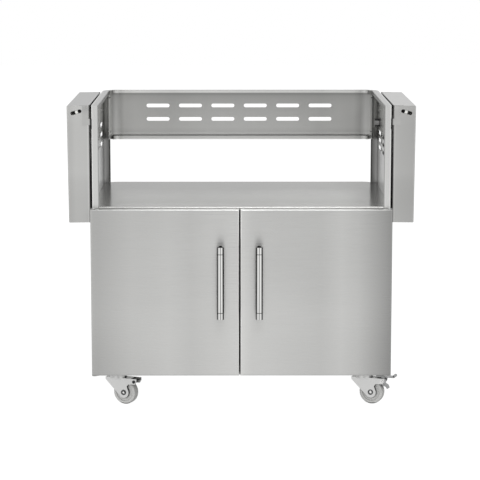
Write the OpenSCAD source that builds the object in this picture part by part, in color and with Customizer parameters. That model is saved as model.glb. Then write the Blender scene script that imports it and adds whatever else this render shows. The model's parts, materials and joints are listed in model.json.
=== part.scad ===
/* [Cabinet] */
// Width across the two side panels
cabinet_w = 895; // [800:1:1000]
// Depth from the front posts to the back panel
cabinet_d = 600; // [560:1:700]
// Height of the rim above the floor
cart_h = 920; // [890:1:980]
// Height of the deck that carries the grill
deck_z = 617; // [590:1:650]
// Thickness of the panel sheet
sheet = 1.2; // [0.8:0.1:1.6]
// Thickness of the deck and of the base pan
floor_t = 1.5; // [1:0.1:2]
// Radius of the rear corners in plan
corner_r = 54; // [45:1:70]
// Angle to which each side panel wraps the rear corner
wrap_angle = 51.5; // [46:0.5:56]
// Width of the flat rim and of the front posts
rim_w = 21; // [16:1:26]
// Height of the lip turned down from the rim
rim_lip = 12; // [8:1:16]
// Depth of the return behind each front post
post_return = 12; // [8:1:18]
// Sideways place of the door split and of the back vents
split_x = -5; // [-10:1:10]

/* [Deck and base] */
// Height of the deck's turned-down edges
deck_edge = 45; // [35:1:55]
// Depth of the ledge below the deck's front edge
deck_ledge = 20; // [16:1:26]
// Radius of the deck's front bend
deck_bend_r = 5; // [3:0.5:7]
// Height of the base pan's turned-up edges
pan_edge = 30; // [22:1:40]
// Width across the top of a deck stiffener
rib_w = 50; // [36:1:70]
// Depth of a deck stiffener
rib_h = 20; // [12:1:28]
// Inner radius of the ring that keeps a gas bottle in place
bottle_r = 105; // [95:1:125]
// Height of the bottle ring
bottle_ring_h = 20; // [12:1:26]

/* [Vents] */
// Length of a vent slot in the back panels
vent_l = 75; // [55:1:85]
// Height of every vent slot
vent_h = 12; // [8:0.5:14]
// Spacing of the back vents along the panel
vent_pitch = 106; // [95:1:120]
// Spacing of the two rows of back vents
vent_row = 44; // [30:1:50]
// Depth of the upper row of back vents below the rim
vent_drop = 52; // [40:1:60]
// Height of the upper back panel
upper_back_h = 161; // [140:1:180]
// Length of a vent slot in the side panels
side_vent_l = 120; // [90:1:130]
// Spacing of the side vents along the panel
side_vent_pitch = 150; // [140:1:160]
// Depth of the top side vent below the rim on the left
left_vent_drop = 100; // [90:1:120]
// Spacing of the side vent rows on the left
left_vent_row = 31; // [24:1:34]
// Depth of the top side vent below the rim on the right
right_vent_drop = 127; // [120:1:140]
// Spacing of the side vent rows on the right
right_vent_row = 24; // [20:1:28]

/* [Doors] */
// Height of the lower edge of the doors
door_z = 104; // [103:1:112]
// Height of a door
door_h = 507; // [470:1:508]
// Thickness of a door
door_t = 22; // [18:1:28]
// Gap between the doors and the posts
door_gap = 3; // [2.6:0.1:5]
// Gap between the two doors
split_gap = 4; // [3:0.5:6]
// Distance that a door reaches past the side panel
door_over = 4.5; // [1:0.5:4.5]
// Thickness of the door sheet
door_sheet = 1; // [0.8:0.1:1.2]
// Radius of the folded door edges
door_edge_r = 3; // [2:0.5:4]
// Radius of the rear corner beside the hinge
door_heel_r = 6; // [5:0.5:8]
// Width of the flange round the back of the door skin
door_hem = 16; // [14:1:22]
// Distance of the hinge axis from the outer edge of the door
pivot_in = 8; // [7:0.5:9]
// Radius of a hinge pin
hinge_pin_r = 4; // [3:0.1:4.5]

/* [Handles] */
// Diameter of the handle bar
handle_d = 21; // [16:0.5:26]
// Overall length of a handle
handle_l = 219; // [160:1:300]
// Height of the lower end of the handles
handle_z = 285; // [250:1:310]
// Distance from the door face to the handle's axis
handle_reach = 45; // [36:1:60]
// Distance from the split to each handle's axis
handle_in = 58; // [45:1:80]
// Length of each end fitting
collar_l = 20; // [18:1:26]
// Diameter of the posts that hold the handle
handle_post_d = 15; // [12:0.5:18]

/* [Side shelves] */
// Length of a side shelf
shelf_l = 351; // [300:1:360]
// Width of a side shelf along the cart
shelf_w = 502; // [480:1:520]
// Depth of the skirt beside the cart
shelf_depth = 68; // [60:1:72]
// Depth lost towards the free end
shelf_taper = 3.5; // [2:0.5:6]
// Gap between a folded shelf and the side panel
shelf_gap = 5; // [4.6:0.1:7]
// Thickness of the shelf sheet
shelf_sheet = 1.2; // [1:0.1:1.4]
// Radius of the shelf's folded edges
shelf_edge_r = 3; // [2:0.5:4]
// Width of the return lip under the skirts
shelf_lip = 12; // [10:1:16]
// Distance from the shelf's end to its pivot
pivot_end = 16.5; // [15:0.5:18]
// Distance from the shelf's top face to its pivot
pivot_drop = 39; // [37:0.5:40]
// Distance between the two ends of the locking slot
slot_run = 22.9; // [18:0.1:24]
// Angle of the locking slot from the level of the folded shelf
slot_angle = 16; // [12:1:20]
// Radius of the pivot pin where it runs in the slot
pivot_r = 5.45; // [4.6:0.05:6]
// Thickness of the shelf brackets
bracket_t = 2; // [1.6:0.1:2.4]
// Radius of the washer behind the slot
washer_r = 14; // [12:0.5:14]

/* [Casters] */
// Radius of a wheel
wheel_r = 37.5; // [34:0.5:38]
// Width of a wheel's tread
wheel_w = 25; // [20:1:27]
// Height from the floor to the top of a caster
caster_h = 102; // [101:0.5:103]
// Distance of the swivel axes from the middle of the cart
caster_x = 377; // [350:1:384]
// Distance of the swivel axes from the front and back
caster_in = 66; // [60:1:90]
// Trail of the wheel behind its swivel axis
trail = 26; // [22:1:28]
// Inner width of the fork
fork_gap = 30; // [29:1:34]
// Thickness of the fork sheet
fork_t = 2.5; // [2:0.1:3]
// Length of the caster's top plate
plate_l = 80; // [76:1:90]
// Width of the caster's top plate
plate_w = 64; // [62:1:70]
// Spacing of the plate's bolt holes along its length
bolt_l = 62; // [60:1:66]
// Spacing of the plate's bolt holes across its width
bolt_w = 46; // [45:1:48]
// Angle to which the left casters are turned
left_swivel = -24; // [-45:1:45]
// Angle to which the right casters are turned
right_swivel = -20.5; // [-45:0.5:45]

/* [Hidden] */
$fn = 64;

// Overrun of every cut past the face that it leaves
over = 10;
// Gap left between nested sheets and at butted seams
seat = 0.2;
// Radial clearance of a running fit
running = 0.05;
// Radial clearance round a screw
screw_play = 0.1;
// Gap kept between pieces that move past each other
pass_gap = 0.5;

// The front faces -Y. The handles stand furthest forward, and the origin is under the middle.
front_reach = door_gap + door_t + handle_reach + handle_d / 2;
front_y = front_reach - (cabinet_d + front_reach) / 2;
back_y = front_y + cabinet_d;
half_w = cabinet_w / 2;
base_z = caster_h;
round_x = half_w - corner_r;
round_y = back_y - corner_r;
// Height of the lower edge of the upper back panel
window_top = cart_h - upper_back_h;
// Radius of the bend between a side panel and its front post
post_bend_r = 2.5;
// Angle of the lap inside the side panels
lap_angle = 9;
// Angle left open at the seam between a side panel and a back panel
seam_angle = 0.3;
// Angle over which the back sheet steps inwards to the lap
step_angle = 3;

// Screws that hold the panels together
screw_r = 2;
screw_head_r = 4;
screw_head_h = 1.8;
screw_l = 7;
side_screw_shares = [0.1, 0.5, 0.84];
deck_screw_z = deck_z - deck_edge / 2;
pan_screw_z = base_z + pan_edge * 0.6;

// Vents
back_vent_n = 6;
back_vent_rows = 2;
lower_vent_drop = 80;
side_vent_n = 3;
side_vent_rows = 3;
side_vent_share = 0.478;

// Grommet for the gas hose
hose_r = 9;
grommet_r = 13;
grommet_neck_r = 12;
grommet_rim_r = 16;
grommet_rim_t = 1.5;
grommet_reach = 17;
grommet_in = 130;
grommet_drop = 96;
grommet_y = back_y - grommet_in;
grommet_z = cart_h - grommet_drop;

// Ring that keeps the gas bottle in place
bottle_x = -190;
ring_foot = 12;

// Door hinges: pins on angle brackets above and below each door
hinge_plate_t = 2;
hinge_gap = 0.6;
hinge_leg = 33;
hinge_leg_w = 16.5;
bush_r = 6;
bush_l = 9;
bush_rim_t = 0.5;
bush_rim_r = 7;
pivot_x = half_w + door_over - pivot_in;
pivot_y = front_y - door_gap - door_t / 2;
door_top = door_z + door_h;
door_face = front_y - door_gap - door_t;
left_door_w = half_w + door_over + split_x - split_gap / 2;
right_door_w = half_w + door_over - split_x - split_gap / 2;
hinge_screw_rise_shares = [0.42, 0.8];
csk_r = 4.2;
csk_h = 1.8;

// Door liner
liner_t = 0.8;
liner_lap = 9;
liner_play = 0.6;

// Magnetic catches
catch_in = 45;
catch_w = 46;
catch_h = 15;
catch_d = 18;
catch_face = 1.7;
magnet_w = 34;
magnet_h = 9;
magnet_d = 8;
strike_w = 40;
strike_h = 14;
strike_t = 1;

// Handles
tube_wall = 1.5;
spigot_l = 14;
cap_bevel = 1.2;
handle_screw_r = 2.5;
handle_screw_l = 14;
handle_head_r = 4.5;
handle_head_h = 3;

// Side shelves, drawn level with the pivot at the origin, then turned to hang beside the cart
lean = atan(shelf_taper / shelf_l);
skirt_drop = shelf_depth - pivot_drop;
edge_offset = (skirt_drop - pivot_end * tan(lean)) * cos(lean);
shelf_pivot_x = half_w + shelf_gap + edge_offset;
shelf_pivot_z = cart_h - pivot_end * cos(lean) - skirt_drop * sin(lean);
fold_angle = 90 + lean;
slot_r = pivot_r + running;
boss_r = 11;
bracket_drop = 39;
bracket_h = 31;
tab_drop = 2;
tab_h = 56;
arm_t = 2.5;
washer_t = 1.5;
arm_y = shelf_sheet + seat + washer_t + seat;
arm_bore_r = 4;
bracket_top = cart_h - bracket_drop;
bracket_foot = bracket_top - bracket_h;
flange_l = 42;
tab_in = 8;
tab_out = 26.5;
tab_top = cart_h - tab_drop;
tab_foot = tab_top - tab_h;
pivot_head_r = 7.5;
pivot_head_h = 2.5;
notch_play = 2;
arm_rise = 2;
lip_start = 62;
bracket_screw_shares = [0.45, 0.85];
bumper_r = 5;
bumper_shares = [0.12, 0.88];
hat_w = 60;
hat_h = 12;
hat_rim = 14;
hat_share = 0.55;

// Casters, drawn with the swivel axis at the origin and the wheel trailing towards +X
plate_t = 3;
bolt_r = 3.9;
bolt_hole_r = 4.2;
bolt_head_r = 6.5;
bolt_head_h = 4;
crown_z = 79.5;
race_r = 27;
race_top = caster_h - plate_t - 4;
kingpin_r = 5;
kingpin_head_r = 8.5;
kingpin_head_h = 1.8;
axle_r = 6.45;
axle_stub_r = 2.8;
axle_ring_r = 5.2;
axle_ring_depth = 5;
axle_head_r = 8;
axle_head_h = 1.8;
fork_nose = 35.5;
fork_nose_z = 74.6;
fork_hub_r = 17;
fork_tail = 70;
fork_waist = [36.8, 57];
fork_throat = [42, 63.5];
fork_tip = [65, 65];
fork_heel = [70, 74];
crown_end = 50;
pedal_pin = [61, 73];
pedal_pin_r = 2.95;
pedal_hub_r = 6;
pedal_w = 24;
pedal_t = 2.5;
pedal_rise = 12.5;
pedal_in = 40;
pedal_bead = 97.5;
pedal_bead_r = 4.5;
pin_head_share = 0.8;
shoe_foot = [65.5, 58.7];
leaf_knee = [75, 56.5];
leaf_end = [79, 50.5];
hub_r = 12;
hub_w = fork_gap - 1;
web_dish = 1;
rim_r = 27;
tread_round = 6;

SIDES = [-1, 1];

function lerp(a, b, t) = a + (b - a) * t;

// Draws its child on the right, or mirrored on the left
module at_side(side) {
    if (side < 0) mirror([1, 0, 0]) children();
    else children();
}

// Plan whose sides and back lie at an inset, with rear corners of one radius and bent front corners
module round_plan(inset, front_inset, rear_r, front_r) {
    side_x = half_w - inset;
    rear_y = back_y - inset;
    near_y = front_y + front_inset;
    difference() {
        union() {
            translate([-side_x, near_y]) square([2 * side_x, rear_y - rear_r - near_y]);
            translate([rear_r - side_x, near_y]) square([2 * (side_x - rear_r), rear_y - near_y]);
            for (side = SIDES) translate([side * (side_x - rear_r), rear_y - rear_r]) circle(rear_r);
        }
        if (front_r > 0) for (side = SIDES) corner_trim([side * side_x, near_y], [-side, 1], front_r);
    }
}

// Plan of the cabinet inside its outer faces
module cabinet_plan(inset, front_inset) {
    round_plan(inset, front_inset, corner_r - inset, post_bend_r - inset);
}

// Thin wall that follows the cabinet's plan, between two insets
module plan_wall(inset, wall, front_inset) {
    difference() {
        cabinet_plan(inset, front_inset);
        cabinet_plan(inset + wall, front_inset + wall);
    }
}

// The same wall with its front end left open
module open_wall(inset, wall) {
    difference() {
        cabinet_plan(inset, 0);
        cabinet_plan(inset + wall, -over);
    }
}

// Zone of the plan that belongs to the right side panel
module panel_zone() {
    translate([half_w - rim_w, front_y - over]) square([rim_w + over, cabinet_d - corner_r + over]);
    polygon([
        [round_x, round_y],
        [half_w + over, round_y],
        [half_w + over, round_y + (corner_r + over) * tan(wrap_angle)]
    ]);
}

// Zone of the plan behind the rear corners, from an angle on each corner
module back_zone(angle) {
    reach = 2 * corner_r;
    ray_x = round_x + reach * cos(angle);
    ray_y = round_y + reach * sin(angle);
    polygon([[-round_x, round_y], [round_x, round_y], [ray_x, ray_y], [-ray_x, ray_y]]);
}

// Plan of a plate that fits inside the panels and between the posts, clear of the laps
module inner_plan(inset) {
    strip = half_w - rim_w - seat - inset;
    round_plan(sheet + seat + inset, post_return + seat + inset, corner_r + 3 * sheet - inset, 0);
    translate([-strip, front_y + inset]) square([2 * strip, post_return + seat + corner_r]);
}

// Slot with round ends, cut along Y
module vent_cut(length, height, depth) {
    rotate([90, 0, 0]) linear_extrude(height = depth, center = true) {
        square([length - height, height], center = true);
        for (side = SIDES) translate([side * (length - height) / 2, 0]) circle(height / 2);
    }
}

// Cuts a square edge along X to a round one; the body lies towards +Y and -Z
module edge_cut(length, r) {
    difference() {
        translate([-over, -over, -r]) cube([length + 2 * over, r + over, r + over]);
        translate([-2 * over, r, -r]) rotate([0, 90, 0]) cylinder(h = length + 4 * over, r = r);
    }
}

// Cuts a square corner of an outline to a round one; dir points into the outline
module corner_trim(p, dir, r) {
    translate(p) mirror([dir[0] < 0 ? 1 : 0, 0]) mirror([0, dir[1] < 0 ? 1 : 0]) difference() {
        translate([-over, -over]) square(r + over);
        translate([r, r]) circle(r);
    }
}

// Pan-head screw that enters towards -Z from its seat at the origin
module pan_screw(head_r, head_h, r, length) {
    difference() {
        cylinder(h = head_h, r1 = head_r, r2 = head_r * 0.8);
        translate([0, 0, head_h / 2]) cylinder(h = over, r = head_r * 0.35, $fn = 6);
    }
    translate([0, 0, -length]) cylinder(h = length, r = r);
}

// Places on the right side panel where screws enter from outside
module at_side_screws() {
    for (share = side_screw_shares, z = [deck_screw_z, pan_screw_z])
        translate([half_w, front_y + cabinet_d * share, z]) rotate([0, 90, 0]) children();
}

// Places on the right rear corner where screws enter the lap of a back panel
module at_lap_screws(low, high, count) {
    angle = wrap_angle - lap_angle / 2;
    for (i = [0 : count - 1])
        translate([round_x, round_y, lerp(low, high, i / (count - 1))]) rotate([0, 0, angle])
            translate([corner_r, 0, 0]) rotate([0, 90, 0]) children();
}

// Every screw place on the right rear corner
module at_corner_screws() {
    lap_margin = rim_w + screw_head_r;
    at_lap_screws(window_top + lap_margin, cart_h - lap_margin, 2) children();
    at_lap_screws(base_z + lap_margin, deck_z - lap_margin, 3) children();
}

// Flat rim flange and the lip turned down from it, kept to a zone
module rim() {
    translate([0, 0, cart_h - sheet]) linear_extrude(height = sheet)
        intersection() { open_wall(0, rim_w); children(); }
    translate([0, 0, cart_h - rim_lip]) linear_extrude(height = rim_lip)
        intersection() { open_wall(rim_w - sheet, sheet); children(); }
}

// Right side panel: web, wrapped rear corner, front post and rim
module side_panel(drop, row) {
    difference() {
        union() {
            translate([0, 0, base_z]) linear_extrude(height = cart_h - base_z)
                intersection() { plan_wall(0, sheet, 0); panel_zone(); }
            translate([half_w - rim_w, front_y, base_z]) cube([sheet, post_return, cart_h - base_z]);
            rim() panel_zone();
        }
        for (i = [0 : side_vent_n - 1], j = [0 : side_vent_rows - 1])
            translate([
                half_w,
                front_y + cabinet_d * side_vent_share + (i - (side_vent_n - 1) / 2) * side_vent_pitch,
                cart_h - drop - j * row
            ])
                rotate([0, 0, 90]) vent_cut(side_vent_l, vent_h, over);
        at_side_screws() cylinder(h = over, r = screw_r + screw_play, center = true);
        at_corner_screws() cylinder(h = over, r = screw_r + screw_play, center = true);
        at_bracket_screws() cylinder(h = over, r = screw_r + screw_play, center = true);
        at_hinge_screws() cylinder(h = over, r = screw_r + screw_play, center = true);
    }
}

module left_side_panel() {
    color("silver") at_side(-1) side_panel(left_vent_drop, left_vent_row);
}

module right_side_panel() {
    color("silver") difference() {
        side_panel(right_vent_drop, right_vent_row);
        translate([half_w, grommet_y, grommet_z]) rotate([0, 90, 0])
            cylinder(h = over, r = grommet_neck_r + seat, center = true);
    }
}

// Back sheet between the side panels, with laps stepped inwards behind their edges
module back_sheet(low, high, lap_high) {
    translate([0, 0, low]) linear_extrude(height = high - low)
        intersection() { plan_wall(0, sheet, 0); back_zone(wrap_angle + seam_angle); }
    translate([0, 0, low]) linear_extrude(height = lap_high - low) intersection() {
        plan_wall(sheet + seat, sheet, 0);
        difference() { back_zone(wrap_angle - lap_angle); back_zone(wrap_angle + step_angle); }
    }
    translate([0, 0, low]) linear_extrude(height = lap_high - low) intersection() {
        plan_wall(0, 2 * sheet + seat, 0);
        difference() { back_zone(wrap_angle + seam_angle); back_zone(wrap_angle + step_angle); }
    }
}

// Rows of vent slots through a back sheet
module back_vents(top_z) {
    for (i = [0 : back_vent_n - 1], j = [0 : back_vent_rows - 1])
        translate([split_x + (i - (back_vent_n - 1) / 2) * vent_pitch, back_y, top_z - j * vent_row])
            vent_cut(vent_l, vent_h, over);
}

module upper_back_panel() {
    color("silver") difference() {
        union() {
            back_sheet(window_top, cart_h, cart_h - sheet - seat);
            rim() back_zone(wrap_angle + seam_angle);
            translate([0, 0, window_top]) linear_extrude(height = sheet)
                intersection() { open_wall(0, rim_w); back_zone(wrap_angle + seam_angle); }
            translate([0, 0, window_top]) linear_extrude(height = rim_lip)
                intersection() { open_wall(rim_w - sheet, sheet); back_zone(wrap_angle + seam_angle); }
        }
        back_vents(cart_h - vent_drop);
        for (side = SIDES) at_side(side) at_corner_screws()
            cylinder(h = over, r = screw_r + screw_play, center = true);
    }
}

module lower_back_panel() {
    color("silver") difference() {
        back_sheet(base_z, deck_z, deck_z);
        back_vents(deck_z - lower_vent_drop);
        for (side = SIDES) at_side(side) at_corner_screws()
            cylinder(h = over, r = screw_r + screw_play, center = true);
    }
}

// Plate with edges turned all round, between two heights of the plate's faces
module tray(plate_low, edge_low, edge_high) {
    translate([0, 0, plate_low]) linear_extrude(height = floor_t) inner_plan(0);
    translate([0, 0, edge_low]) linear_extrude(height = edge_high - edge_low)
        difference() { inner_plan(0); inner_plan(floor_t); }
}

// Holes in a plate's turned edges for the screws through the panels
module edge_holes() {
    for (side = SIDES) at_side(side) {
        at_side_screws() cylinder(h = 2 * over, r = screw_r + screw_play, center = true);
        at_corner_screws() cylinder(h = 2 * over, r = screw_r + screw_play, center = true);
    }
}

module deck() {
    strip = half_w - rim_w - seat;
    color("lightgray") difference() {
        union() {
            tray(deck_z - floor_t, deck_z - deck_edge, deck_z);
            translate([-strip, front_y, deck_z - deck_edge]) cube([2 * strip, deck_ledge, floor_t]);
            translate([-strip, front_y, deck_z - deck_bend_r])
                cube([2 * strip, deck_bend_r, deck_bend_r]);
        }
        translate([-half_w, front_y, deck_z]) edge_cut(cabinet_w, deck_bend_r);
        translate([-strip - over, front_y + deck_bend_r, deck_z - deck_bend_r]) rotate([0, 90, 0])
            cylinder(h = 2 * (strip + over), r = deck_bend_r - floor_t);
        edge_holes();
    }
}

module base_pan() {
    color("silver") difference() {
        tray(base_z, base_z, base_z + pan_edge);
        edge_holes();
        at_caster_bolts() cylinder(h = 2 * over, r = bolt_hole_r, center = true);
    }
}

// Channel with two feet, running along Y, its feet against the plate above
module hat_rib(width, height, foot, length, t) {
    rotate([-90, 0, 0]) linear_extrude(height = length) {
        difference() {
            translate([-width / 2, 0]) square([width, height]);
            translate([t - width / 2, -over]) square([width - 2 * t, height - t + over]);
        }
        for (side = SIDES) translate([side < 0 ? -width / 2 - foot : width / 2, 0]) square([foot, t]);
    }
}

module deck_stiffeners() {
    color("gray") for (side = SIDES) translate([side * cabinet_w / 6, front_y + deck_ledge + seat,
            deck_z - floor_t - seat])
        hat_rib(rib_w, rib_h, ring_foot, cabinet_d - deck_ledge - sheet - floor_t - 3 * seat, floor_t);
}

module bottle_ring() {
    color("gray") translate([bottle_x, (front_y + back_y) / 2, base_z + floor_t + seat]) rotate_extrude() {
        translate([bottle_r, 0]) square([floor_t, bottle_ring_h]);
        translate([bottle_r, 0]) square([ring_foot, floor_t]);
    }
}

module hose_grommet() {
    inner = sheet + grommet_reach;
    color("dimgray") translate([half_w, grommet_y, grommet_z]) rotate([0, 90, 0]) difference() {
        union() {
            cylinder(h = grommet_rim_t, r = grommet_rim_r);
            translate([0, 0, -inner]) cylinder(h = inner, r = grommet_neck_r);
            translate([0, 0, -inner]) cylinder(h = grommet_reach - seat, r = grommet_r);
        }
        cylinder(h = 2 * (inner + over), r = hose_r, center = true);
    }
}

// Screw places of the right door's hinges, on the front of the post
module at_hinge_screws() {
    for (share = hinge_screw_rise_shares) {
        translate([half_w - hinge_leg_w / 2, front_y, door_z + (hinge_leg - hinge_gap) * share])
            rotate([90, 0, 0]) children();
        translate([half_w - hinge_leg_w / 2, front_y, door_top - (hinge_leg - hinge_gap) * share])
            rotate([90, 0, 0]) children();
    }
}

// One right-hand hinge: a plate with its pin and a leg against the post
module hinge() {
    translate([0, 0, -hinge_gap - hinge_plate_t]) {
        linear_extrude(height = hinge_plate_t) {
            translate([pivot_x, pivot_y]) circle(pivot_in);
            translate([half_w - hinge_leg_w, pivot_y]) square([hinge_leg_w, front_y - pivot_y]);
        }
        translate([half_w - hinge_leg_w, front_y - hinge_plate_t, 0])
            cube([hinge_leg_w, hinge_plate_t, hinge_leg]);
        translate([pivot_x, pivot_y, 0]) cylinder(h = hinge_gap + hinge_plate_t + bush_l, r = hinge_pin_r);
    }
}

module door_hinges(side) {
    color("silver") difference() {
        at_side(side) {
            translate([0, 0, door_z]) hinge();
            translate([0, 0, door_top]) mirror([0, 0, 1]) hinge();
        }
        at_side(side) at_hinge_screws() {
            cylinder(h = 2 * over, r = screw_r + screw_play, center = true);
            translate([0, 0, hinge_plate_t - csk_h - screw_play])
                cylinder(h = csk_h + screw_play, r1 = screw_r, r2 = csk_r + screw_play);
        }
    }
}

module left_door_hinges() { door_hinges(-1); }
module right_door_hinges() { door_hinges(1); }

module hinge_screws() {
    color("gray") for (side = SIDES) at_side(side) at_hinge_screws() {
        translate([0, 0, hinge_plate_t - csk_h]) cylinder(h = csk_h, r1 = screw_r, r2 = csk_r);
        translate([0, 0, hinge_plate_t - screw_l]) cylinder(h = screw_l - csk_h, r = screw_r);
    }
}

// Magnetic catches under the deck's front ledge
module at_catches() {
    for (side = SIDES) translate([split_x + side * catch_in, front_y - catch_face,
            deck_z - deck_edge - catch_h])
        children();
}

module magnet_catches() {
    color("white") at_catches() difference() {
        translate([-catch_w / 2, 0, 0]) cube([catch_w, catch_d, catch_h - seat]);
        translate([-magnet_w / 2 - seat, -over, (catch_h - magnet_h) / 2 - seat])
            cube([magnet_w + 2 * seat, magnet_d + over + seat, magnet_h + 2 * seat]);
    }
}

module catch_magnets() {
    color("dimgray") at_catches() translate([-magnet_w / 2, 0, (catch_h - magnet_h) / 2])
        cube([magnet_w, magnet_d, magnet_h]);
}

module panel_screws() {
    color("silver") for (side = SIDES) at_side(side) {
        at_side_screws() pan_screw(screw_head_r, screw_head_h, screw_r, screw_l);
        at_corner_screws() pan_screw(screw_head_r, screw_head_h, screw_r, screw_l);
    }
}

// Outline of a level shelf seen from the front, with its pivot at the origin
module shelf_outline(inset) {
    low = shelf_depth - pivot_drop;
    difference() {
        translate([inset - pivot_end, -low - over])
            square([shelf_l - 2 * inset, shelf_depth + over - inset]);
        corner_trim([inset - pivot_end, pivot_drop - inset], [1, -1], shelf_edge_r - inset);
        corner_trim([shelf_l - pivot_end - inset, pivot_drop - inset], [-1, -1], shelf_edge_r - inset);
    }
}

// Everything below the slanted edge of the skirts, raised by an amount
module below_skirts(rise) {
    low = shelf_depth - pivot_drop - rise;
    polygon([
        [-pivot_end - over, -low - over * shelf_taper / shelf_l],
        [-pivot_end - over, -shelf_depth - over],
        [shelf_l - pivot_end + over, -shelf_depth - over],
        [shelf_l - pivot_end + over, shelf_taper * (1 + over / shelf_l) - low]
    ]);
}

// Solid of a level shelf before it is hollowed
module shelf_block(inset) {
    intersection() {
        rotate([90, 0, 0]) mirror([0, 0, 1]) linear_extrude(height = shelf_w) shelf_outline(inset);
        rotate([90, 0, 90]) translate([0, 0, -shelf_l]) linear_extrude(height = 3 * shelf_l)
            difference() {
                translate([inset, -shelf_depth - over])
                    square([shelf_w - 2 * inset, shelf_depth + over + pivot_drop - inset]);
                corner_trim([inset, pivot_drop - inset], [1, -1], shelf_edge_r - inset);
                corner_trim([shelf_w - inset, pivot_drop - inset], [-1, -1], shelf_edge_r - inset);
            }
    }
}

// Locking slot in a skirt, from the pivot towards the top of the shelf
module slot_cut() {
    angle = 90 - slot_angle + lean;
    rotate([90, 0, 0]) {
        cylinder(h = 2 * over, r = slot_r, center = true);
        rotate([0, 0, angle]) {
            translate([0, -slot_r, -over]) cube([slot_run, 2 * slot_r, 2 * over]);
            translate([slot_run, 0, 0]) cylinder(h = 2 * over, r = slot_r, center = true);
        }
    }
}

// Draws its child at the front skirt of the right shelf, and mirrored at the rear skirt
module at_skirts() {
    children();
    translate([0, shelf_w, 0]) mirror([0, 1, 0]) children();
}

// Room for the bracket's arm beside a skirt of the level shelf
module arm_room() {
    room_w = arm_y + arm_t + notch_play;
    translate([-pivot_end - over, shelf_sheet, -shelf_depth - over])
        cube([over + shelf_sheet + shelf_lip, room_w - shelf_sheet, shelf_depth + over + arm_rise]);
    translate([-pivot_end - over, shelf_sheet, -shelf_depth - over])
        cube([over + pivot_end + lip_start, room_w + shelf_lip, over + pivot_drop + floor_t + notch_play]);
}

// Level shelf with its pivot at the origin: top, four skirts and their return lips
module level_shelf() {
    difference() {
        union() {
            difference() {
                shelf_block(0);
                shelf_block(shelf_sheet);
            }
            difference() {
                intersection() {
                    shelf_block(0);
                    rotate([90, 0, 0]) mirror([0, 0, 1]) linear_extrude(height = shelf_w)
                        below_skirts(shelf_sheet);
                }
                translate([shelf_lip - pivot_end, shelf_lip, -shelf_depth - over])
                    cube([shelf_l - 2 * shelf_lip, shelf_w - 2 * shelf_lip, shelf_depth + over]);
            }
        }
        translate([0, -over, 0]) rotate([90, 0, 0]) mirror([0, 0, 1])
            linear_extrude(height = shelf_w + 2 * over) below_skirts(0);
        at_skirts() slot_cut();
        at_skirts() arm_room();
    }
}

// Turns a level piece to the folded place on one side
module folded(side) {
    at_side(side) translate([shelf_pivot_x, front_y, shelf_pivot_z]) rotate([0, fold_angle, 0]) children();
}

module left_shelf() { color("lightgray") folded(-1) level_shelf(); }
module right_shelf() { color("lightgray") folded(1) level_shelf(); }

// Channel across the underside of the shelf's top
module shelf_rib() {
    translate([shelf_l * hat_share - pivot_end, shelf_edge_r + seat, pivot_drop - shelf_sheet - seat])
        hat_rib(hat_w, hat_h, hat_rim, shelf_w - 2 * (shelf_edge_r + seat), shelf_sheet);
}

module left_shelf_stiffener() { color("gray") folded(-1) shelf_rib(); }
module right_shelf_stiffener() { color("gray") folded(1) shelf_rib(); }

// Draws its child at the front pivot of the right shelf, and mirrored at the rear pivot
module at_pivots() {
    translate([0, front_y, 0]) at_skirts() children();
}

// Screw places in the flange of the right shelf's brackets
module at_bracket_screws() {
    at_pivots() for (share = bracket_screw_shares)
        translate([half_w, flange_l * share, (bracket_top + bracket_foot) / 2])
            rotate([0, 90, 0]) children();
}

// Right-hand shelf bracket at the front: flange in the gap, tab before the skirt, arm behind it
module shelf_bracket() {
    tab_y = -pass_gap - bracket_t;
    translate([half_w, tab_y, bracket_foot])
        cube([bracket_t, flange_l - tab_y, bracket_top - bracket_foot]);
    rotate([90, 0, 0]) translate([0, 0, pass_gap]) linear_extrude(height = bracket_t) {
        translate([half_w, tab_foot]) square([tab_in + bracket_t, bracket_top - tab_foot]);
        translate([half_w + tab_in, tab_foot]) square([tab_out - tab_in, tab_top - tab_foot]);
    }
    difference() {
        rotate([90, 0, 0]) mirror([0, 0, 1]) translate([0, 0, arm_y]) linear_extrude(height = arm_t) {
            translate([shelf_pivot_x, shelf_pivot_z]) circle(boss_r);
            polygon([
                [half_w, bracket_top],
                [half_w, bracket_foot],
                [half_w + 2 * bracket_t, bracket_foot],
                [shelf_pivot_x + boss_r * cos(45), shelf_pivot_z - boss_r * sin(45)],
                [shelf_pivot_x - boss_r * cos(45), shelf_pivot_z + boss_r * sin(45)]
            ]);
        }
        translate([shelf_pivot_x, 0, shelf_pivot_z]) rotate([90, 0, 0])
            cylinder(h = 4 * over, r = arm_bore_r + running, center = true);
    }
}

module bracket_at(side, rear) {
    color("silver") difference() {
        at_side(side) translate([0, front_y, 0]) {
            if (rear) translate([0, shelf_w, 0]) mirror([0, 1, 0]) shelf_bracket();
            else shelf_bracket();
        }
        at_side(side) at_bracket_screws() cylinder(h = 2 * over, r = screw_r + screw_play, center = true);
    }
}

module left_front_shelf_bracket() { bracket_at(-1, false); }
module left_rear_shelf_bracket() { bracket_at(-1, true); }
module right_front_shelf_bracket() { bracket_at(1, false); }
module right_rear_shelf_bracket() { bracket_at(1, true); }

module shelf_bracket_screws() {
    color("silver") for (side = SIDES) at_side(side) at_bracket_screws()
        translate([0, 0, bracket_t]) pan_screw(screw_head_r, screw_head_h * 0.6, screw_r, screw_l);
}

// Pivot pin: a wide end in the slot, a shank through washer and arm, and a riveted head
module pivot_pin() {
    rotate([90, 0, 0]) mirror([0, 0, 1]) {
        cylinder(h = shelf_sheet + seat, r = pivot_r);
        cylinder(h = arm_y + arm_t + pivot_head_h, r = arm_bore_r);
        translate([0, 0, arm_y + arm_t]) cylinder(h = pivot_head_h, r1 = pivot_head_r, r2 = boss_r / 2);
    }
}

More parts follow.
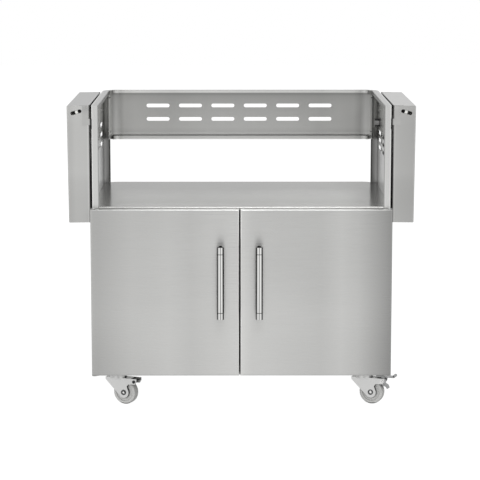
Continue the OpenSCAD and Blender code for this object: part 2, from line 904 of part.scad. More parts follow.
module shelf_pivots(side) {
    color("dimgray") at_side(side) at_pivots() translate([shelf_pivot_x, 0, shelf_pivot_z]) pivot_pin();
}

module left_shelf_pivots() { shelf_pivots(-1); }
module right_shelf_pivots() { shelf_pivots(1); }

module shelf_washers(side) {
    color("white") at_side(side) at_pivots() translate([shelf_pivot_x, shelf_sheet + seat, shelf_pivot_z])
        rotate([90, 0, 0]) mirror([0, 0, 1]) difference() {
            cylinder(h = washer_t, r = washer_r);
            translate([0, 0, -over]) cylinder(h = 2 * over, r = arm_bore_r + running);
        }
}

module left_shelf_washers() { shelf_washers(-1); }
module right_shelf_washers() { shelf_washers(1); }

module shelf_bumpers() {
    rise = cart_h - shelf_l + shelf_lip / 2;
    color("dimgray") for (side = SIDES, share = bumper_shares) at_side(side)
        translate([half_w, front_y + shelf_w * share, rise]) rotate([0, 90, 0]) {
            cylinder(h = (shelf_gap - pass_gap) / 2, r = bumper_r);
            cylinder(h = shelf_gap - pass_gap * 0.6, r = bumper_r * 0.8);
        }
}

// Plan of a door from its hinge edge at X zero and its face at Y zero
module door_plan(width, inset) {
    difference() {
        translate([inset, inset]) square([width - 2 * inset, door_t - 2 * inset]);
        corner_trim([inset, inset], [1, 1], door_edge_r - inset);
        corner_trim([width - inset, inset], [-1, 1], door_edge_r - inset);
        corner_trim([width - inset, door_t - inset], [-1, -1], door_edge_r - inset);
        corner_trim([inset, door_t - inset], [1, -1], door_heel_r - inset);
    }
}

// Solid of a door before it is hollowed, rounded on all its front edges
module door_block(width, inset) {
    intersection() {
        translate([0, 0, inset]) linear_extrude(height = door_h - 2 * inset) door_plan(width, inset);
        rotate([90, 0, 90]) linear_extrude(height = width) difference() {
            translate([inset, inset]) square([door_t - 2 * inset, door_h - 2 * inset]);
            corner_trim([inset, inset], [1, 1], door_edge_r - inset);
            corner_trim([inset, door_h - inset], [1, -1], door_edge_r - inset);
        }
    }
}

// Places a door's piece, drawn from its hinge edge, on one side
module at_door(side) {
    at_side(side) translate([half_w + door_over, door_face, door_z]) mirror([1, 0, 0]) children();
}

function door_w(side) = side < 0 ? left_door_w : right_door_w;
// Distance from the hinge edge to the handle's axis
function grip_x(side) = door_w(side) + split_gap / 2 - handle_in;

module door_skin(side) {
    width = door_w(side);
    color("lightgray") at_door(side) difference() {
        door_block(width, 0);
        door_block(width, door_sheet);
        translate([door_hem, door_t - door_sheet - over, door_hem])
            cube([width - 2 * door_hem, 2 * over, door_h - 2 * door_hem]);
        translate([pivot_in, door_t / 2, -over]) cylinder(h = door_h + 2 * over, r = bush_r + seat / 2);
        for (z = [collar_l / 2, handle_l - collar_l / 2])
            translate([grip_x(side), 0, handle_z - door_z + z]) rotate([90, 0, 0])
                cylinder(h = 2 * over, r = handle_screw_r + screw_play, center = true);
    }
}

// Inner panel: a rim behind the flange and a field pressed out flush with the back
module door_liner(side) {
    width = door_w(side);
    rim_back = door_t - door_sheet - seat;
    field_w = width - 2 * (door_hem + liner_play);
    field_h = door_h - 2 * (door_hem + liner_play);
    field_in = door_hem + liner_play;
    color("silver") at_door(side) difference() {
        union() {
            translate([door_hem - liner_lap, rim_back - liner_t, door_hem - liner_lap])
                cube([width - 2 * (door_hem - liner_lap), liner_t, door_h - 2 * (door_hem - liner_lap)]);
            translate([field_in, rim_back - liner_t, field_in]) cube([field_w, door_t - rim_back + liner_t, field_h]);
        }
        translate([field_in + liner_t, -over, field_in + liner_t])
            cube([field_w - 2 * liner_t, over + door_t - liner_t, field_h - 2 * liner_t]);
    }
}

// Bush for a hinge pin, its rim under the door
module door_bush() {
    difference() {
        union() {
            translate([0, 0, -bush_rim_t]) cylinder(h = bush_rim_t, r = bush_rim_r);
            cylinder(h = bush_l, r = bush_r);
        }
        cylinder(h = 4 * over, r = hinge_pin_r + running, center = true);
    }
}

module door_bushes(side) {
    color("white") at_door(side) translate([pivot_in, door_t / 2, 0]) {
        door_bush();
        translate([0, 0, door_h]) mirror([0, 0, 1]) door_bush();
    }
}

module strike_plate(side) {
    plate_x = door_w(side) + split_gap / 2 - catch_in;
    plate_z = deck_z - deck_edge - catch_h / 2 - door_z;
    color("gray") at_door(side) translate([plate_x - strike_w / 2, door_t, plate_z - strike_h / 2])
        cube([strike_w, strike_t, strike_h]);
}

// Bar of a handle, drawn from its lower end
module handle_bar(side) {
    color("gainsboro") at_handle(side) translate([0, 0, collar_l + seat]) difference() {
        cylinder(h = handle_l - 2 * (collar_l + seat), d = handle_d);
        cylinder(h = 2 * handle_l, r = handle_d / 2 - tube_wall, center = true);
    }
}

module at_handle(side) {
    at_door(side) translate([grip_x(side), -handle_reach, handle_z - door_z]) children();
}

// End fitting of a handle: collar with a bevelled end, spigot in the tube, and post to the door
module handle_end() {
    difference() {
        union() {
            translate([0, 0, cap_bevel]) cylinder(h = collar_l - cap_bevel, d = handle_d);
            cylinder(h = cap_bevel, r1 = handle_d / 2 - cap_bevel, r2 = handle_d / 2);
            cylinder(h = collar_l + spigot_l, r = handle_d / 2 - tube_wall - seat);
            translate([0, 0, collar_l / 2]) rotate([-90, 0, 0]) cylinder(h = handle_reach, d = handle_post_d);
        }
        translate([0, handle_reach, collar_l / 2]) rotate([90, 0, 0])
            cylinder(h = 2 * handle_screw_l, r = handle_screw_r + running, center = true);
    }
}

module handle_ends(side) {
    color("gainsboro") at_handle(side) {
        handle_end();
        translate([0, 0, handle_l]) mirror([0, 0, 1]) handle_end();
    }
}

module handle_screws(side) {
    color("gray") at_handle(side) for (z = [collar_l / 2, handle_l - collar_l / 2])
        translate([0, handle_reach + door_sheet, z]) rotate([-90, 0, 0])
            pan_screw(handle_head_r, handle_head_h, handle_screw_r, handle_screw_l);
}

module left_door_skin() { door_skin(-1); }
module left_door_liner() { door_liner(-1); }
module left_door_bushes() { door_bushes(-1); }
module left_strike_plate() { strike_plate(-1); }
module left_handle_bar() { handle_bar(-1); }
module left_handle_ends() { handle_ends(-1); }
module left_handle_screws() { handle_screws(-1); }
module right_door_skin() { door_skin(1); }
module right_door_liner() { door_liner(1); }
module right_door_bushes() { door_bushes(1); }
module right_strike_plate() { strike_plate(1); }
module right_handle_bar() { handle_bar(1); }
module right_handle_ends() { handle_ends(1); }
module right_handle_screws() { handle_screws(1); }

// Swivel axis of one caster
module at_caster(side, rear) {
    translate([side * caster_x, rear ? back_y - caster_in : front_y + caster_in, 0]) children();
}

// The same place, turned to the way that the caster trails
module at_swivel(side, rear) {
    at_caster(side, rear) rotate([0, 0, side < 0 ? left_swivel : right_swivel]) children();
}

// Axes of the bolts of every caster, at the underside of the base pan
module at_caster_bolts() {
    for (side = SIDES, rear = [false, true]) at_caster(side, rear) at_plate_bolts() children();
}

module at_plate_bolts() {
    for (i = SIDES, j = SIDES) translate([i * bolt_l / 2, j * bolt_w / 2, caster_h]) children();
}

// Top plate with the upper race and the kingpin
module caster_plate() {
    difference() {
        translate([-plate_l / 2, -plate_w / 2, caster_h - plate_t]) cube([plate_l, plate_w, plate_t]);
        at_plate_bolts() cylinder(h = 2 * over, r = bolt_hole_r, center = true);
    }
    translate([0, 0, race_top + seat]) cylinder(h = caster_h - plate_t - race_top - seat, r = race_r - plate_t);
    translate([0, 0, crown_z - kingpin_head_h - seat]) {
        cylinder(h = caster_h - crown_z, r = kingpin_r);
        cylinder(h = kingpin_head_h, r = kingpin_head_r);
    }
}

module front_caster_plates() { color("silver") for (side = SIDES) at_caster(side, false) caster_plate(); }
module rear_caster_plates() { color("silver") for (side = SIDES) at_caster(side, true) caster_plate(); }

// Bolts through plates and base pan, each with its nut
module caster_bolts() {
    color("gray") at_caster_bolts() {
        translate([0, 0, -plate_t - bolt_head_h]) cylinder(h = bolt_head_h, r = bolt_head_r, $fn = 6);
        translate([0, 0, -plate_t - bolt_head_h])
            cylinder(h = bolt_head_h + plate_t + floor_t + bolt_head_h + floor_t, r = bolt_r);
        translate([0, 0, floor_t]) cylinder(h = bolt_head_h, r = bolt_head_r, $fn = 6);
    }
}

// Side of the fork, seen from the side, with the swivel axis at X zero
module fork_side() {
    hub = [trail, wheel_r];
    nose = [-fork_nose, fork_nose_z];
    span = norm(hub - nose);
    slope = atan2(hub[1] - nose[1], hub[0] - nose[0]) - asin(fork_hub_r / span);
    touch = nose + sqrt(span * span - fork_hub_r * fork_hub_r) * [cos(slope), sin(slope)];
    translate(hub) circle(fork_hub_r);
    polygon([
        [-fork_nose, crown_z + fork_t], nose, touch, hub, [trail + fork_hub_r, wheel_r],
        fork_waist, fork_throat, fork_tip, fork_heel, [fork_tail, crown_z + fork_t]
    ]);
}

// Fork: two sides, crown with its race cup, and the holes for axle, kingpin and pedal pin
module fork() {
    half_gap = fork_gap / 2;
    difference() {
        union() {
            for (side = SIDES) translate([0, side < 0 ? -half_gap : half_gap + fork_t, 0])
                rotate([90, 0, 0]) linear_extrude(height = fork_t) fork_side();
            translate([-fork_nose, -half_gap - over / 10, crown_z])
                cube([fork_nose + crown_end, fork_gap + over / 5, fork_t]);
            translate([0, 0, crown_z]) cylinder(h = fork_t, r = race_r);
            translate([0, 0, crown_z + fork_t])
                cylinder(h = race_top - crown_z - fork_t, r1 = race_r, r2 = race_r - fork_t);
        }
        cylinder(h = 4 * caster_h, r = kingpin_r + running, center = true);
        translate([trail, 0, wheel_r]) rotate([90, 0, 0])
            cylinder(h = 4 * fork_gap, r = axle_r + running, center = true);
        translate([pedal_pin[0], 0, pedal_pin[1]]) rotate([90, 0, 0])
            cylinder(h = 4 * fork_gap, r = pedal_pin_r + running, center = true);
    }
}

// Rivet through both sides of the fork, hollow where a bore is given
module rivet(r, bore_r, head_r, head_h) {
    length = fork_gap + 2 * fork_t;
    rotate([90, 0, 0]) difference() {
        union() {
            cylinder(h = length + head_h, r = r, center = true);
            for (side = SIDES) translate([0, 0, side < 0 ? -length / 2 - head_h : length / 2])
                cylinder(h = head_h, r = head_r);
        }
        if (bore_r > 0) cylinder(h = 4 * length, r = bore_r, center = true);
    }
}

// Solid axle with a head at each end, and a turned ring that leaves a stub in each head
module axle_pin() {
    half = fork_gap / 2 + fork_t + axle_head_h;
    difference() {
        rivet(axle_r, 0, axle_head_r, axle_head_h);
        for (side = SIDES) translate([0, side * (half - axle_ring_depth / 2 + over), 0])
            rotate([90, 0, 0]) difference() {
                cylinder(h = axle_ring_depth + 2 * over, r = axle_ring_r, center = true);
                cylinder(h = 2 * axle_ring_depth + 4 * over, r = axle_stub_r, center = true);
            }
    }
}

module axle() {
    translate([trail, 0, wheel_r]) axle_pin();
    translate([pedal_pin[0], 0, pedal_pin[1]])
        rivet(pedal_pin_r, pedal_pin_r / 2, pedal_hub_r * pin_head_share, axle_head_h);
}

// Wheel: tread with round shoulders, web and hub, turned about its axle
module wheel() {
    translate([trail, 0, wheel_r]) rotate([90, 0, 0]) rotate_extrude() {
        difference() {
            translate([rim_r, -wheel_w / 2]) square([wheel_r - rim_r, wheel_w]);
            corner_trim([wheel_r, wheel_w / 2], [-1, -1], tread_round);
            corner_trim([wheel_r, -wheel_w / 2], [-1, 1], tread_round);
        }
        translate([hub_r - floor_t, web_dish - wheel_w / 2])
            square([rim_r - hub_r + 2 * floor_t, wheel_w - 2 * web_dish]);
        translate([axle_r + running, -hub_w / 2]) square([hub_r - axle_r - running, hub_w]);
    }
}

// Brake pedal: blade with a rolled end, hub on its pin, shoe by the tread and curved leaf
module brake_pedal() {
    blade_z = pedal_pin[1] + pedal_rise;
    rotate([90, 0, 0]) linear_extrude(height = pedal_w, center = true) difference() {
        union() {
            translate(pedal_pin) circle(pedal_hub_r);
            translate([pedal_in, blade_z]) square([pedal_bead - pedal_in, pedal_t]);
            translate([pedal_bead, blade_z + pedal_bead_r]) difference() {
                circle(pedal_bead_r);
                circle(pedal_bead_r - pedal_t);
            }
            translate([pedal_pin[0] - pedal_t, pedal_pin[1]]) square([2 * pedal_t, pedal_rise]);
            polygon([
                pedal_pin, [shoe_foot[0] - pedal_t, shoe_foot[1]], shoe_foot,
                leaf_knee - [pedal_t, 0], leaf_end - [pedal_t, 0], leaf_end, leaf_knee + [0, pedal_t],
                [pedal_pin[0] + pedal_hub_r, shoe_foot[1] + 2 * pedal_t],
                [pedal_pin[0] + pedal_hub_r, pedal_pin[1]]
            ]);
        }
        translate(pedal_pin) circle(pedal_pin_r + running);
    }
}

module left_front_fork() { color("silver") at_swivel(-1, false) fork(); }
module right_front_fork() { color("silver") at_swivel(1, false) fork(); }
module left_rear_fork() { color("silver") at_swivel(-1, true) fork(); }
module right_rear_fork() { color("silver") at_swivel(1, true) fork(); }
module left_front_wheel() { color("lightgray") at_swivel(-1, false) wheel(); }
module right_front_wheel() { color("lightgray") at_swivel(1, false) wheel(); }
module left_rear_wheel() { color("lightgray") at_swivel(-1, true) wheel(); }
module right_rear_wheel() { color("lightgray") at_swivel(1, true) wheel(); }
module left_front_axle() { color("gray") at_swivel(-1, false) axle(); }
module right_front_axle() { color("gray") at_swivel(1, false) axle(); }
module left_rear_axle() { color("gray") at_swivel(-1, true) axle(); }
module right_rear_axle() { color("gray") at_swivel(1, true) axle(); }
module right_front_brake_pedal() { color("dimgray") at_swivel(1, false) brake_pedal(); }
module right_rear_brake_pedal() { color("dimgray") at_swivel(1, true) brake_pedal(); }

base_pan();
left_side_panel();
right_side_panel();
lower_back_panel();
upper_back_panel();
deck();
deck_stiffeners();
bottle_ring();
hose_grommet();
left_door_hinges();
right_door_hinges();
hinge_screws();
magnet_catches();
catch_magnets();
panel_screws();
left_front_shelf_bracket();
left_rear_shelf_bracket();
right_front_shelf_bracket();
right_rear_shelf_bracket();
shelf_bracket_screws();
left_shelf_pivots();
right_shelf_pivots();
left_shelf_washers();
right_shelf_washers();
shelf_bumpers();
left_shelf();
right_shelf();
left_shelf_stiffener();
right_shelf_stiffener();
left_door_skin();
left_door_liner();
left_door_bushes();
left_strike_plate();
left_handle_bar();
left_handle_ends();
left_handle_screws();
right_door_skin();
right_door_liner();
right_door_bushes();
right_strike_plate();
right_handle_bar();
right_handle_ends();
right_handle_screws();
front_caster_plates();
rear_caster_plates();
caster_bolts();
left_front_fork();
right_front_fork();
left_rear_fork();
right_rear_fork();
left_front_wheel();
right_front_wheel();
left_rear_wheel();
right_rear_wheel();
left_front_axle();
right_front_axle();
left_rear_axle();
right_rear_axle();
right_front_brake_pedal();
right_rear_brake_pedal();
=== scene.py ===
# %% [markdown]
# # A rolling grill cart in brushed stainless steel
# The cart is folded sheet metal: a cabinet with two doors, a deck between vented sides, two shelves that
# hang beside it, and four swivel casters. The frame below brings in every piece at its real size and place.
# What is left for Blender is the surface of each: grain, polish, zinc, nylon and rubber, and the room that
# they mirror.

# %% The frame
import json
import math

import bpy
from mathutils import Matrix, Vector


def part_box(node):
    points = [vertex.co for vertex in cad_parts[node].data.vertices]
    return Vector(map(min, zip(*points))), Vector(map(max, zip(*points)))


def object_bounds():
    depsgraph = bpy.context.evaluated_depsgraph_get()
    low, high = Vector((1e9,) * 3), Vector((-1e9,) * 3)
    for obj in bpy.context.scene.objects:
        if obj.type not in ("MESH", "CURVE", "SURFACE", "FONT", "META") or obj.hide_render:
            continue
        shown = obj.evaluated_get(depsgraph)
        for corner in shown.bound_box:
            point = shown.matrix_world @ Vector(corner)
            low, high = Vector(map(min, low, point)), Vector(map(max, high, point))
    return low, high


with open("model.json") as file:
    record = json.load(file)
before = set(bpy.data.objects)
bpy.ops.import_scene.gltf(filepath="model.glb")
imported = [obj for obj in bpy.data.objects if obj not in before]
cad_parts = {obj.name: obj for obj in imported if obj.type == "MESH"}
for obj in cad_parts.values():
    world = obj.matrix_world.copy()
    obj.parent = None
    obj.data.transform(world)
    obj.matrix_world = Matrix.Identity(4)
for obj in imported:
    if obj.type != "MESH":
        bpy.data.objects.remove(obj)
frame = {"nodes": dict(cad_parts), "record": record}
CAD_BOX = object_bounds()
NODES = frame["nodes"]
print("nodes", len(NODES), "box", [round(v, 4) for v in (*CAD_BOX[0], *CAD_BOX[1])])

# %% [markdown]
# ## Sizes that everything else is measured from
# A maker works from the sheet, so levels such as the floor, the deck and the rim are read from the pieces
# themselves, here and further down. Reading them keeps the looks on the piece if a size changes. A box is a
# pair of corners, the lowest and the highest. Blender works in metres, so the millimetre is a value too.

# %% Reference sizes
MM = 0.001
DECK_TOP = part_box("deck")[1].z
RIM_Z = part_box("right_side_panel")[1].z
FLOOR_Z = CAD_BOX[0].z
print("floor", round(FLOOR_Z, 4), "deck top", round(DECK_TOP, 4), "rim", round(RIM_Z, 4))

# %% [markdown]
# ## The camera
# The photograph was taken from about six metres with a long lens, a little above the cart and looking down
# by about nine degrees. A long lens keeps the upright edges nearly parallel, which is why catalogue pictures
# use one. Its place is in millimetres here and its two angles are in degrees.

# %% Camera
CAMERA_AT = Vector((-26.64, -6260.25, 1444.65)) * MM
PITCH_DOWN, YAW_RIGHT = 8.8036, 0.2146
SENSOR_MM, LENS_MM = 36.0, 151.54
CLIP_NEAR, CLIP_FAR = 0.1, 60.0

camera_data = bpy.data.cameras.new("camera")
camera_data.sensor_width = SENSOR_MM
camera_data.lens = LENS_MM
camera_data.clip_start = CLIP_NEAR
camera_data.clip_end = CLIP_FAR
camera = bpy.data.objects.new("camera", camera_data)
bpy.context.scene.collection.objects.link(camera)
camera.location = CAMERA_AT
camera.rotation_euler = (math.radians(90 - PITCH_DOWN), 0.0, math.radians(-YAW_RIGHT))
bpy.context.scene.camera = camera
bpy.context.scene.view_settings.view_transform = "Standard"
print("camera", [round(v, 3) for v in camera.location], "lens", LENS_MM)

# %% [markdown]
# ## Colours
# Colours are written as the hex values that a picture program shows. Blender works in linear light, so one
# function converts them. Two small ones make a plain grey and a lighter or darker shade of a colour.

# %% Colour helpers
def linear(hex_colour):
    """Linear RGBA for an sRGB hex colour."""
    channels = [int(hex_colour[i:i + 2], 16) / 255 for i in (1, 3, 5)]
    return [c / 12.92 if c <= 0.04045 else ((c + 0.055) / 1.055) ** 2.4 for c in channels] + [1.0]


def grey(value):
    """Linear RGBA of a grey."""
    return [value, value, value, 1.0]


def lighter(colour, factor):
    """A linear colour times a factor, no brighter than white."""
    return [min(1.0, c * factor) for c in colour[:3]] + [1.0]


WHITE = grey(1.0)
print("steel mid grey", [round(c, 3) for c in linear("#ADADAB")])

# %% [markdown]
# ## Nodes
# A material in Blender is a small network of nodes. One function adds a node with its settings and links,
# and every material here is made with it. Another fills the stops of a colour ramp from a short table, and
# the last starts an empty material.

# %% Node helpers
def add(tree, kind, settings=None, **links):
    """Adds a node. Settings are its properties, links are inputs by name, as values or as sockets."""
    node = tree.nodes.new(kind)
    for name, value in (settings or {}).items():
        setattr(node, name, value)
    for name, value in links.items():
        key = int(name[1:]) if name[0] == "i" and name[1:].isdigit() else name.replace("_", " ")
        socket = node.inputs[key]
        if isinstance(value, bpy.types.NodeSocket):
            tree.links.new(value, socket)
        else:
            socket.default_value = value
    return node


def place_stops(stops, table):
    """Sets a ramp's stops from pairs of a place from 0 to 1 and a brightness."""
    stops.remove(stops[1])
    stops[0].position = table[0][0]
    stops[0].color = grey(table[0][1])
    for share, value in table[1:]:
        stops.new(share).color = grey(value)


def new_material(name):
    """An empty node material with its output, ready for a shader."""
    material = bpy.data.materials.new(name)
    material.use_nodes = True
    tree = material.node_tree
    tree.nodes.clear()
    output = tree.nodes.new("ShaderNodeOutputMaterial")
    return material, tree, output


print("helpers", add.__name__, place_stops.__name__, new_material.__name__)

# %% [markdown]
# ## Studio light
# Steel has no colour of its own to speak of: it shows the room. The room here is a plain white studio. It is
# dim right behind the camera, brightest at some 30 to 50 degrees to either side of it, dim again at the
# sides, and even behind and above. Bright next to dim is what gives flat sheet its shading.

# %% The room's brightness by direction
# Each pair is an angle from straight in front of the doors, in degrees, and a brightness.
ROOM = [(0, 0.47), (8, 0.53), (15, 0.95), (30, 1.14), (48, 1.12), (58, 0.72), (74, 0.55), (88, 0.55),
        (104, 0.70), (125, 0.80), (180, 0.80)]
CEILING = 0.82
WALL_TOP, CEILING_FROM = 0.3, 0.75
# A ramp holds levels up to 1, so they are divided by this on the way in and multiplied again after it.
RAMP_RANGE = 2.0


def room_level(tree, direction, height):
    """Brightness of the room in a direction, even towards the ceiling."""
    parts = add(tree, "ShaderNodeSeparateXYZ", Vector=direction)
    sideways = add(tree, "ShaderNodeMath", {"operation": "ABSOLUTE"}, i0=parts.outputs["X"])
    front = add(tree, "ShaderNodeMath", {"operation": "MULTIPLY"}, i0=parts.outputs["Y"], i1=-1.0)
    turn = add(tree, "ShaderNodeMath", {"operation": "ARCTAN2"}, i0=sideways.outputs[0], i1=front.outputs[0])
    share = add(tree, "ShaderNodeMath", {"operation": "DIVIDE"}, i0=turn.outputs[0], i1=math.pi)
    ramp = add(tree, "ShaderNodeValToRGB", Fac=share.outputs[0])
    place_stops(ramp.color_ramp.elements, [(angle / 180, value / RAMP_RANGE) for angle, value in ROOM])
    level = add(tree, "ShaderNodeMath", {"operation": "MULTIPLY"}, i0=ramp.outputs["Color"], i1=RAMP_RANGE)
    rise = add(tree, "ShaderNodeMapRange", {"interpolation_type": "SMOOTHSTEP"}, Value=height,
               From_Min=WALL_TOP, From_Max=CEILING_FROM, To_Min=0.0, To_Max=1.0)
    return add(tree, "ShaderNodeMix", {"data_type": "FLOAT"}, i0=rise.outputs[0], i2=level.outputs[0],
               i3=CEILING)


print("room", ROOM)

# %% [markdown]
# ## World
# The world is that room, all round. The camera's own rays see plain white instead, as a catalogue picture
# shows its paper background, and every other ray sees the room's levels.

# %% World
world = bpy.data.worlds.new("studio")
bpy.context.scene.world = world
world.use_nodes = True
sky = world.node_tree
sky.nodes.clear()
where = add(sky, "ShaderNodeTexCoord")
up = add(sky, "ShaderNodeSeparateXYZ", Vector=where.outputs["Generated"])
level = room_level(sky, where.outputs["Generated"], up.outputs["Z"])
path = add(sky, "ShaderNodeLightPath")
shown = add(sky, "ShaderNodeMix", {"data_type": "FLOAT"}, i0=path.outputs["Is Camera Ray"],
            i2=level.outputs[0], i3=1.0)
background = add(sky, "ShaderNodeBackground", Color=WHITE, Strength=shown.outputs[0])
add(sky, "ShaderNodeOutputWorld", Surface=background.outputs[0])
print("world", world.name)

# %% [markdown]
# ## Lamps
# Two large soft boxes give the light its direction: a wide one high in front, and a weaker one from the
# left. They are big, so their shadows are soft, and weak, so that a colour renders about as it is written.

# %% Lamps
# Each box has its place and its size in metres, and its power in watts.
SOFT_BOXES = {
    "box_front": ((0.6, -3.2, 3.6), (2.4, 1.6), 38),
    "box_left": ((-3.4, -1.6, 2.2), (1.2, 2.0), 14),
}
LAMPS_AIM = Vector((0, 0, 0.5))

for name, (at, size, power) in SOFT_BOXES.items():
    data = bpy.data.lights.new(name, "AREA")
    data.shape = "RECTANGLE"
    data.size, data.size_y = size
    data.energy = power
    lamp = bpy.data.objects.new(name, data)
    bpy.context.scene.collection.objects.link(lamp)
    lamp.location = at
    lamp.rotation_euler = (LAMPS_AIM - Vector(at)).to_track_quat("-Z", "Y").to_euler()
    print(name, "at", at, "with", power, "watts")

# %% [markdown]
# ## Floor
# A white studio floor has to look as white as the paper round it and still hold the shadow under the wheels.
# The floor is a plain diffuse white. To the camera most of it glows by itself, so that it clips to paper
# white and keeps a faint shadow. Steel sees it at one even level near the cart, and further off like the
# rest of the room.

# %% Floor
FLOOR_SIDE, FLOOR_DROP = 30.0, 0.5 * MM
PAPER_GLOW, PAPER_SHARE = 1.15, 0.84
NEAR_LEVEL = 0.8
NEAR_M, FAR_M = 1.1, 2.2

bpy.ops.object.select_all(action="DESELECT")
bpy.ops.mesh.primitive_plane_add(size=FLOOR_SIDE, location=(0, 0, FLOOR_Z - FLOOR_DROP))
floor = bpy.context.object
floor.name = "studio_floor"
white_floor, tree, output = new_material("matt white studio floor")
diffuse = add(tree, "ShaderNodeBsdfDiffuse", Color=linear("#F4F4F4"))
paper = add(tree, "ShaderNodeEmission", Color=WHITE, Strength=PAPER_GLOW)
place = add(tree, "ShaderNodeTexCoord")
far = add(tree, "ShaderNodeVectorMath", {"operation": "LENGTH"}, i0=place.outputs["Object"])
far_share = add(tree, "ShaderNodeMapRange", {"interpolation_type": "SMOOTHSTEP"}, Value=far.outputs["Value"],
                From_Min=NEAR_M, From_Max=FAR_M, To_Min=0.0, To_Max=1.0)
round_about = room_level(tree, place.outputs["Object"], 0.0)
floor_level = add(tree, "ShaderNodeMix", {"data_type": "FLOAT"}, i0=far_share.outputs[0], i2=NEAR_LEVEL,
                  i3=round_about.outputs[0])
mirrored = add(tree, "ShaderNodeEmission", Color=WHITE, Strength=floor_level.outputs[0])
ray = add(tree, "ShaderNodeLightPath")
seen = add(tree, "ShaderNodeMath", {"operation": "MULTIPLY"}, i0=ray.outputs["Is Camera Ray"],
           i1=PAPER_SHARE)
to_eye = add(tree, "ShaderNodeMixShader", Fac=seen.outputs[0], i1=diffuse.outputs[0], i2=paper.outputs[0])
in_steel = add(tree, "ShaderNodeMixShader", Fac=ray.outputs["Is Glossy Ray"], i1=to_eye.outputs[0],
               i2=mirrored.outputs[0])
tree.links.new(in_steel.outputs[0], output.inputs["Surface"])
floor.data.materials.append(white_floor)
print("floor at", round(floor.location.z, 4))

# %% [markdown]
# ## Black velvet behind the handles
# A round polished bar mirrors the whole room in a few stripes, and its two edges mirror the door behind it.
# To draw those edges as dark lines, photographers lay black velvet behind chrome. This card lies just in
# front of the doors, behind both handles. Only reflections see it, and only from the front, so the doors
# themselves don't change.

# %% Velvet
VELVET_SIDE, VELVET_LIFT, VELVET_MARGIN = 370 * MM, 0.4 * MM, 30 * MM

velvet, tree, output = new_material("black velvet, one-sided")
matt_black = add(tree, "ShaderNodeBsdfDiffuse", Color=linear("#050505"))
nothing = add(tree, "ShaderNodeBsdfTransparent")
side_seen = add(tree, "ShaderNodeNewGeometry")
one_sided = add(tree, "ShaderNodeMixShader", Fac=side_seen.outputs["Backfacing"], i1=matt_black.outputs[0],
                i2=nothing.outputs[0])
tree.links.new(one_sided.outputs[0], output.inputs["Surface"])

door_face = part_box("left_door_skin")[0].y
left_bar, right_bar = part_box("left_handle_bar"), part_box("right_handle_bar")
card_low = left_bar[0].z - 2 * VELVET_MARGIN
card_height = left_bar[1].z + VELVET_MARGIN - card_low
card_width = right_bar[1].x - left_bar[0].x + 2 * VELVET_SIDE
card_corner = Vector((left_bar[0].x - VELVET_SIDE, door_face - VELVET_LIFT, card_low))

bpy.ops.object.select_all(action="DESELECT")
bpy.ops.mesh.primitive_plane_add(size=1, location=(0, 0, 0))
card = bpy.context.object
card.name = "velvet"
for vertex in card.data.vertices:
    across, upwards = vertex.co.x + 0.5, vertex.co.y + 0.5
    vertex.co = card_corner + Vector((card_width * across, 0.0, card_height * upwards))
card.data.update()
card.data.materials.append(velvet)
card.visible_camera = card.visible_diffuse = card.visible_shadow = card.visible_transmission = False
print("velvet from", round(card_low, 3), "up by", round(card_height, 3))

# %% [markdown]
# ## Painted shade in folds, and painted tones along a sheet
# Two things painted into the colour change the tone of one sheet from place to place. In a narrow gap or a
# fold the light dies away, which ambient occlusion measures: it is painted in as shade, the same from every
# side, so it moves with the piece. And long flat sheet mirrors a studio that nobody can rebuild from a
# picture. Its tones are painted reflections and shade, in tables, each of a place along one axis, in
# millimetres, and a factor there, blended in between. The factors were worked out from the brightness of the
# photograph next to that of the render, so they follow the photograph and don't foretell it. At bends, gaps
# and edges their stops lie about a pixel (3 mm) or less apart.

# %% Crevices and bands
CREVICE_MM = 30.0
CREVICE_CLOSED, CREVICE_OPEN, CREVICE_DARK = 0.06, 0.5, 0.015
SHELTER_RAYS = 12


def painted_crevice_shade(tree, reach_mm=CREVICE_MM, closed=CREVICE_CLOSED, open_at=CREVICE_OPEN):
    """Painted shade that gathers in narrow gaps and folds, from near 0 in a deep slot to 1 in the open."""
    shelter = add(tree, "ShaderNodeAmbientOcclusion", {"samples": SHELTER_RAYS}, Distance=reach_mm * MM)
    return add(tree, "ShaderNodeMapRange", {"interpolation_type": "SMOOTHSTEP"}, Value=shelter.outputs["AO"],
               From_Min=closed, From_Max=open_at, To_Min=CREVICE_DARK, To_Max=1.0)


def painted_light_bands(tree, place, axis, table, colour):
    """Soft bands of painted light and shade across a sheet: pairs of a place along the axis in mm and a
    brightness.
    """
    parts = add(tree, "ShaderNodeSeparateXYZ", Vector=place)
    first, last = table[0][0], table[-1][0]
    share = add(tree, "ShaderNodeMapRange", Value=parts.outputs[axis], From_Min=first * MM,
                From_Max=last * MM)
    ramp = add(tree, "ShaderNodeValToRGB", Fac=share.outputs[0])
    place_stops(ramp.color_ramp.elements, [((at - first) / (last - first), value) for at, value in table])
    return add(tree, "ShaderNodeMix", {"data_type": "RGBA", "blend_type": "MULTIPLY"}, i0=1.0, i6=colour,
               i7=ramp.outputs["Color"])


print("crevices within", CREVICE_MM, "mm")

# %% [markdown]
# ## Brushed stainless steel
# Sheet steel for kitchens is brushed with a fine belt, about 0.1 mm between scratches. The scratches run one
# way, so a reflection stays sharp along them and smears across them. That smear is the anisotropy of the
# shader, with its tangent set across the grain. Fine streaks in roughness and bump give the grain itself,
# drawn a little coarser than real so that it shows. Slow, wide variation stands for the slight waviness of
# thin sheet.

# %% Brushed steel
GRAIN_MM, STREAK_MM, WAVE_MM = 0.35, 90.0, 260.0
SMEAR, WAVINESS = 0.75, 0.06
GRAIN_LOW, GRAIN_HIGH, GLOSS_CHANGE = 0.25, 0.75, 0.15
SCRATCH_DEPTH, SCRATCH_STRENGTH = 0.04 * MM, 0.12
# A small slant that keeps the tangent from vanishing where a face looks straight along the grain.
OFF_AXIS = (0.011, 0.007, 0.013)


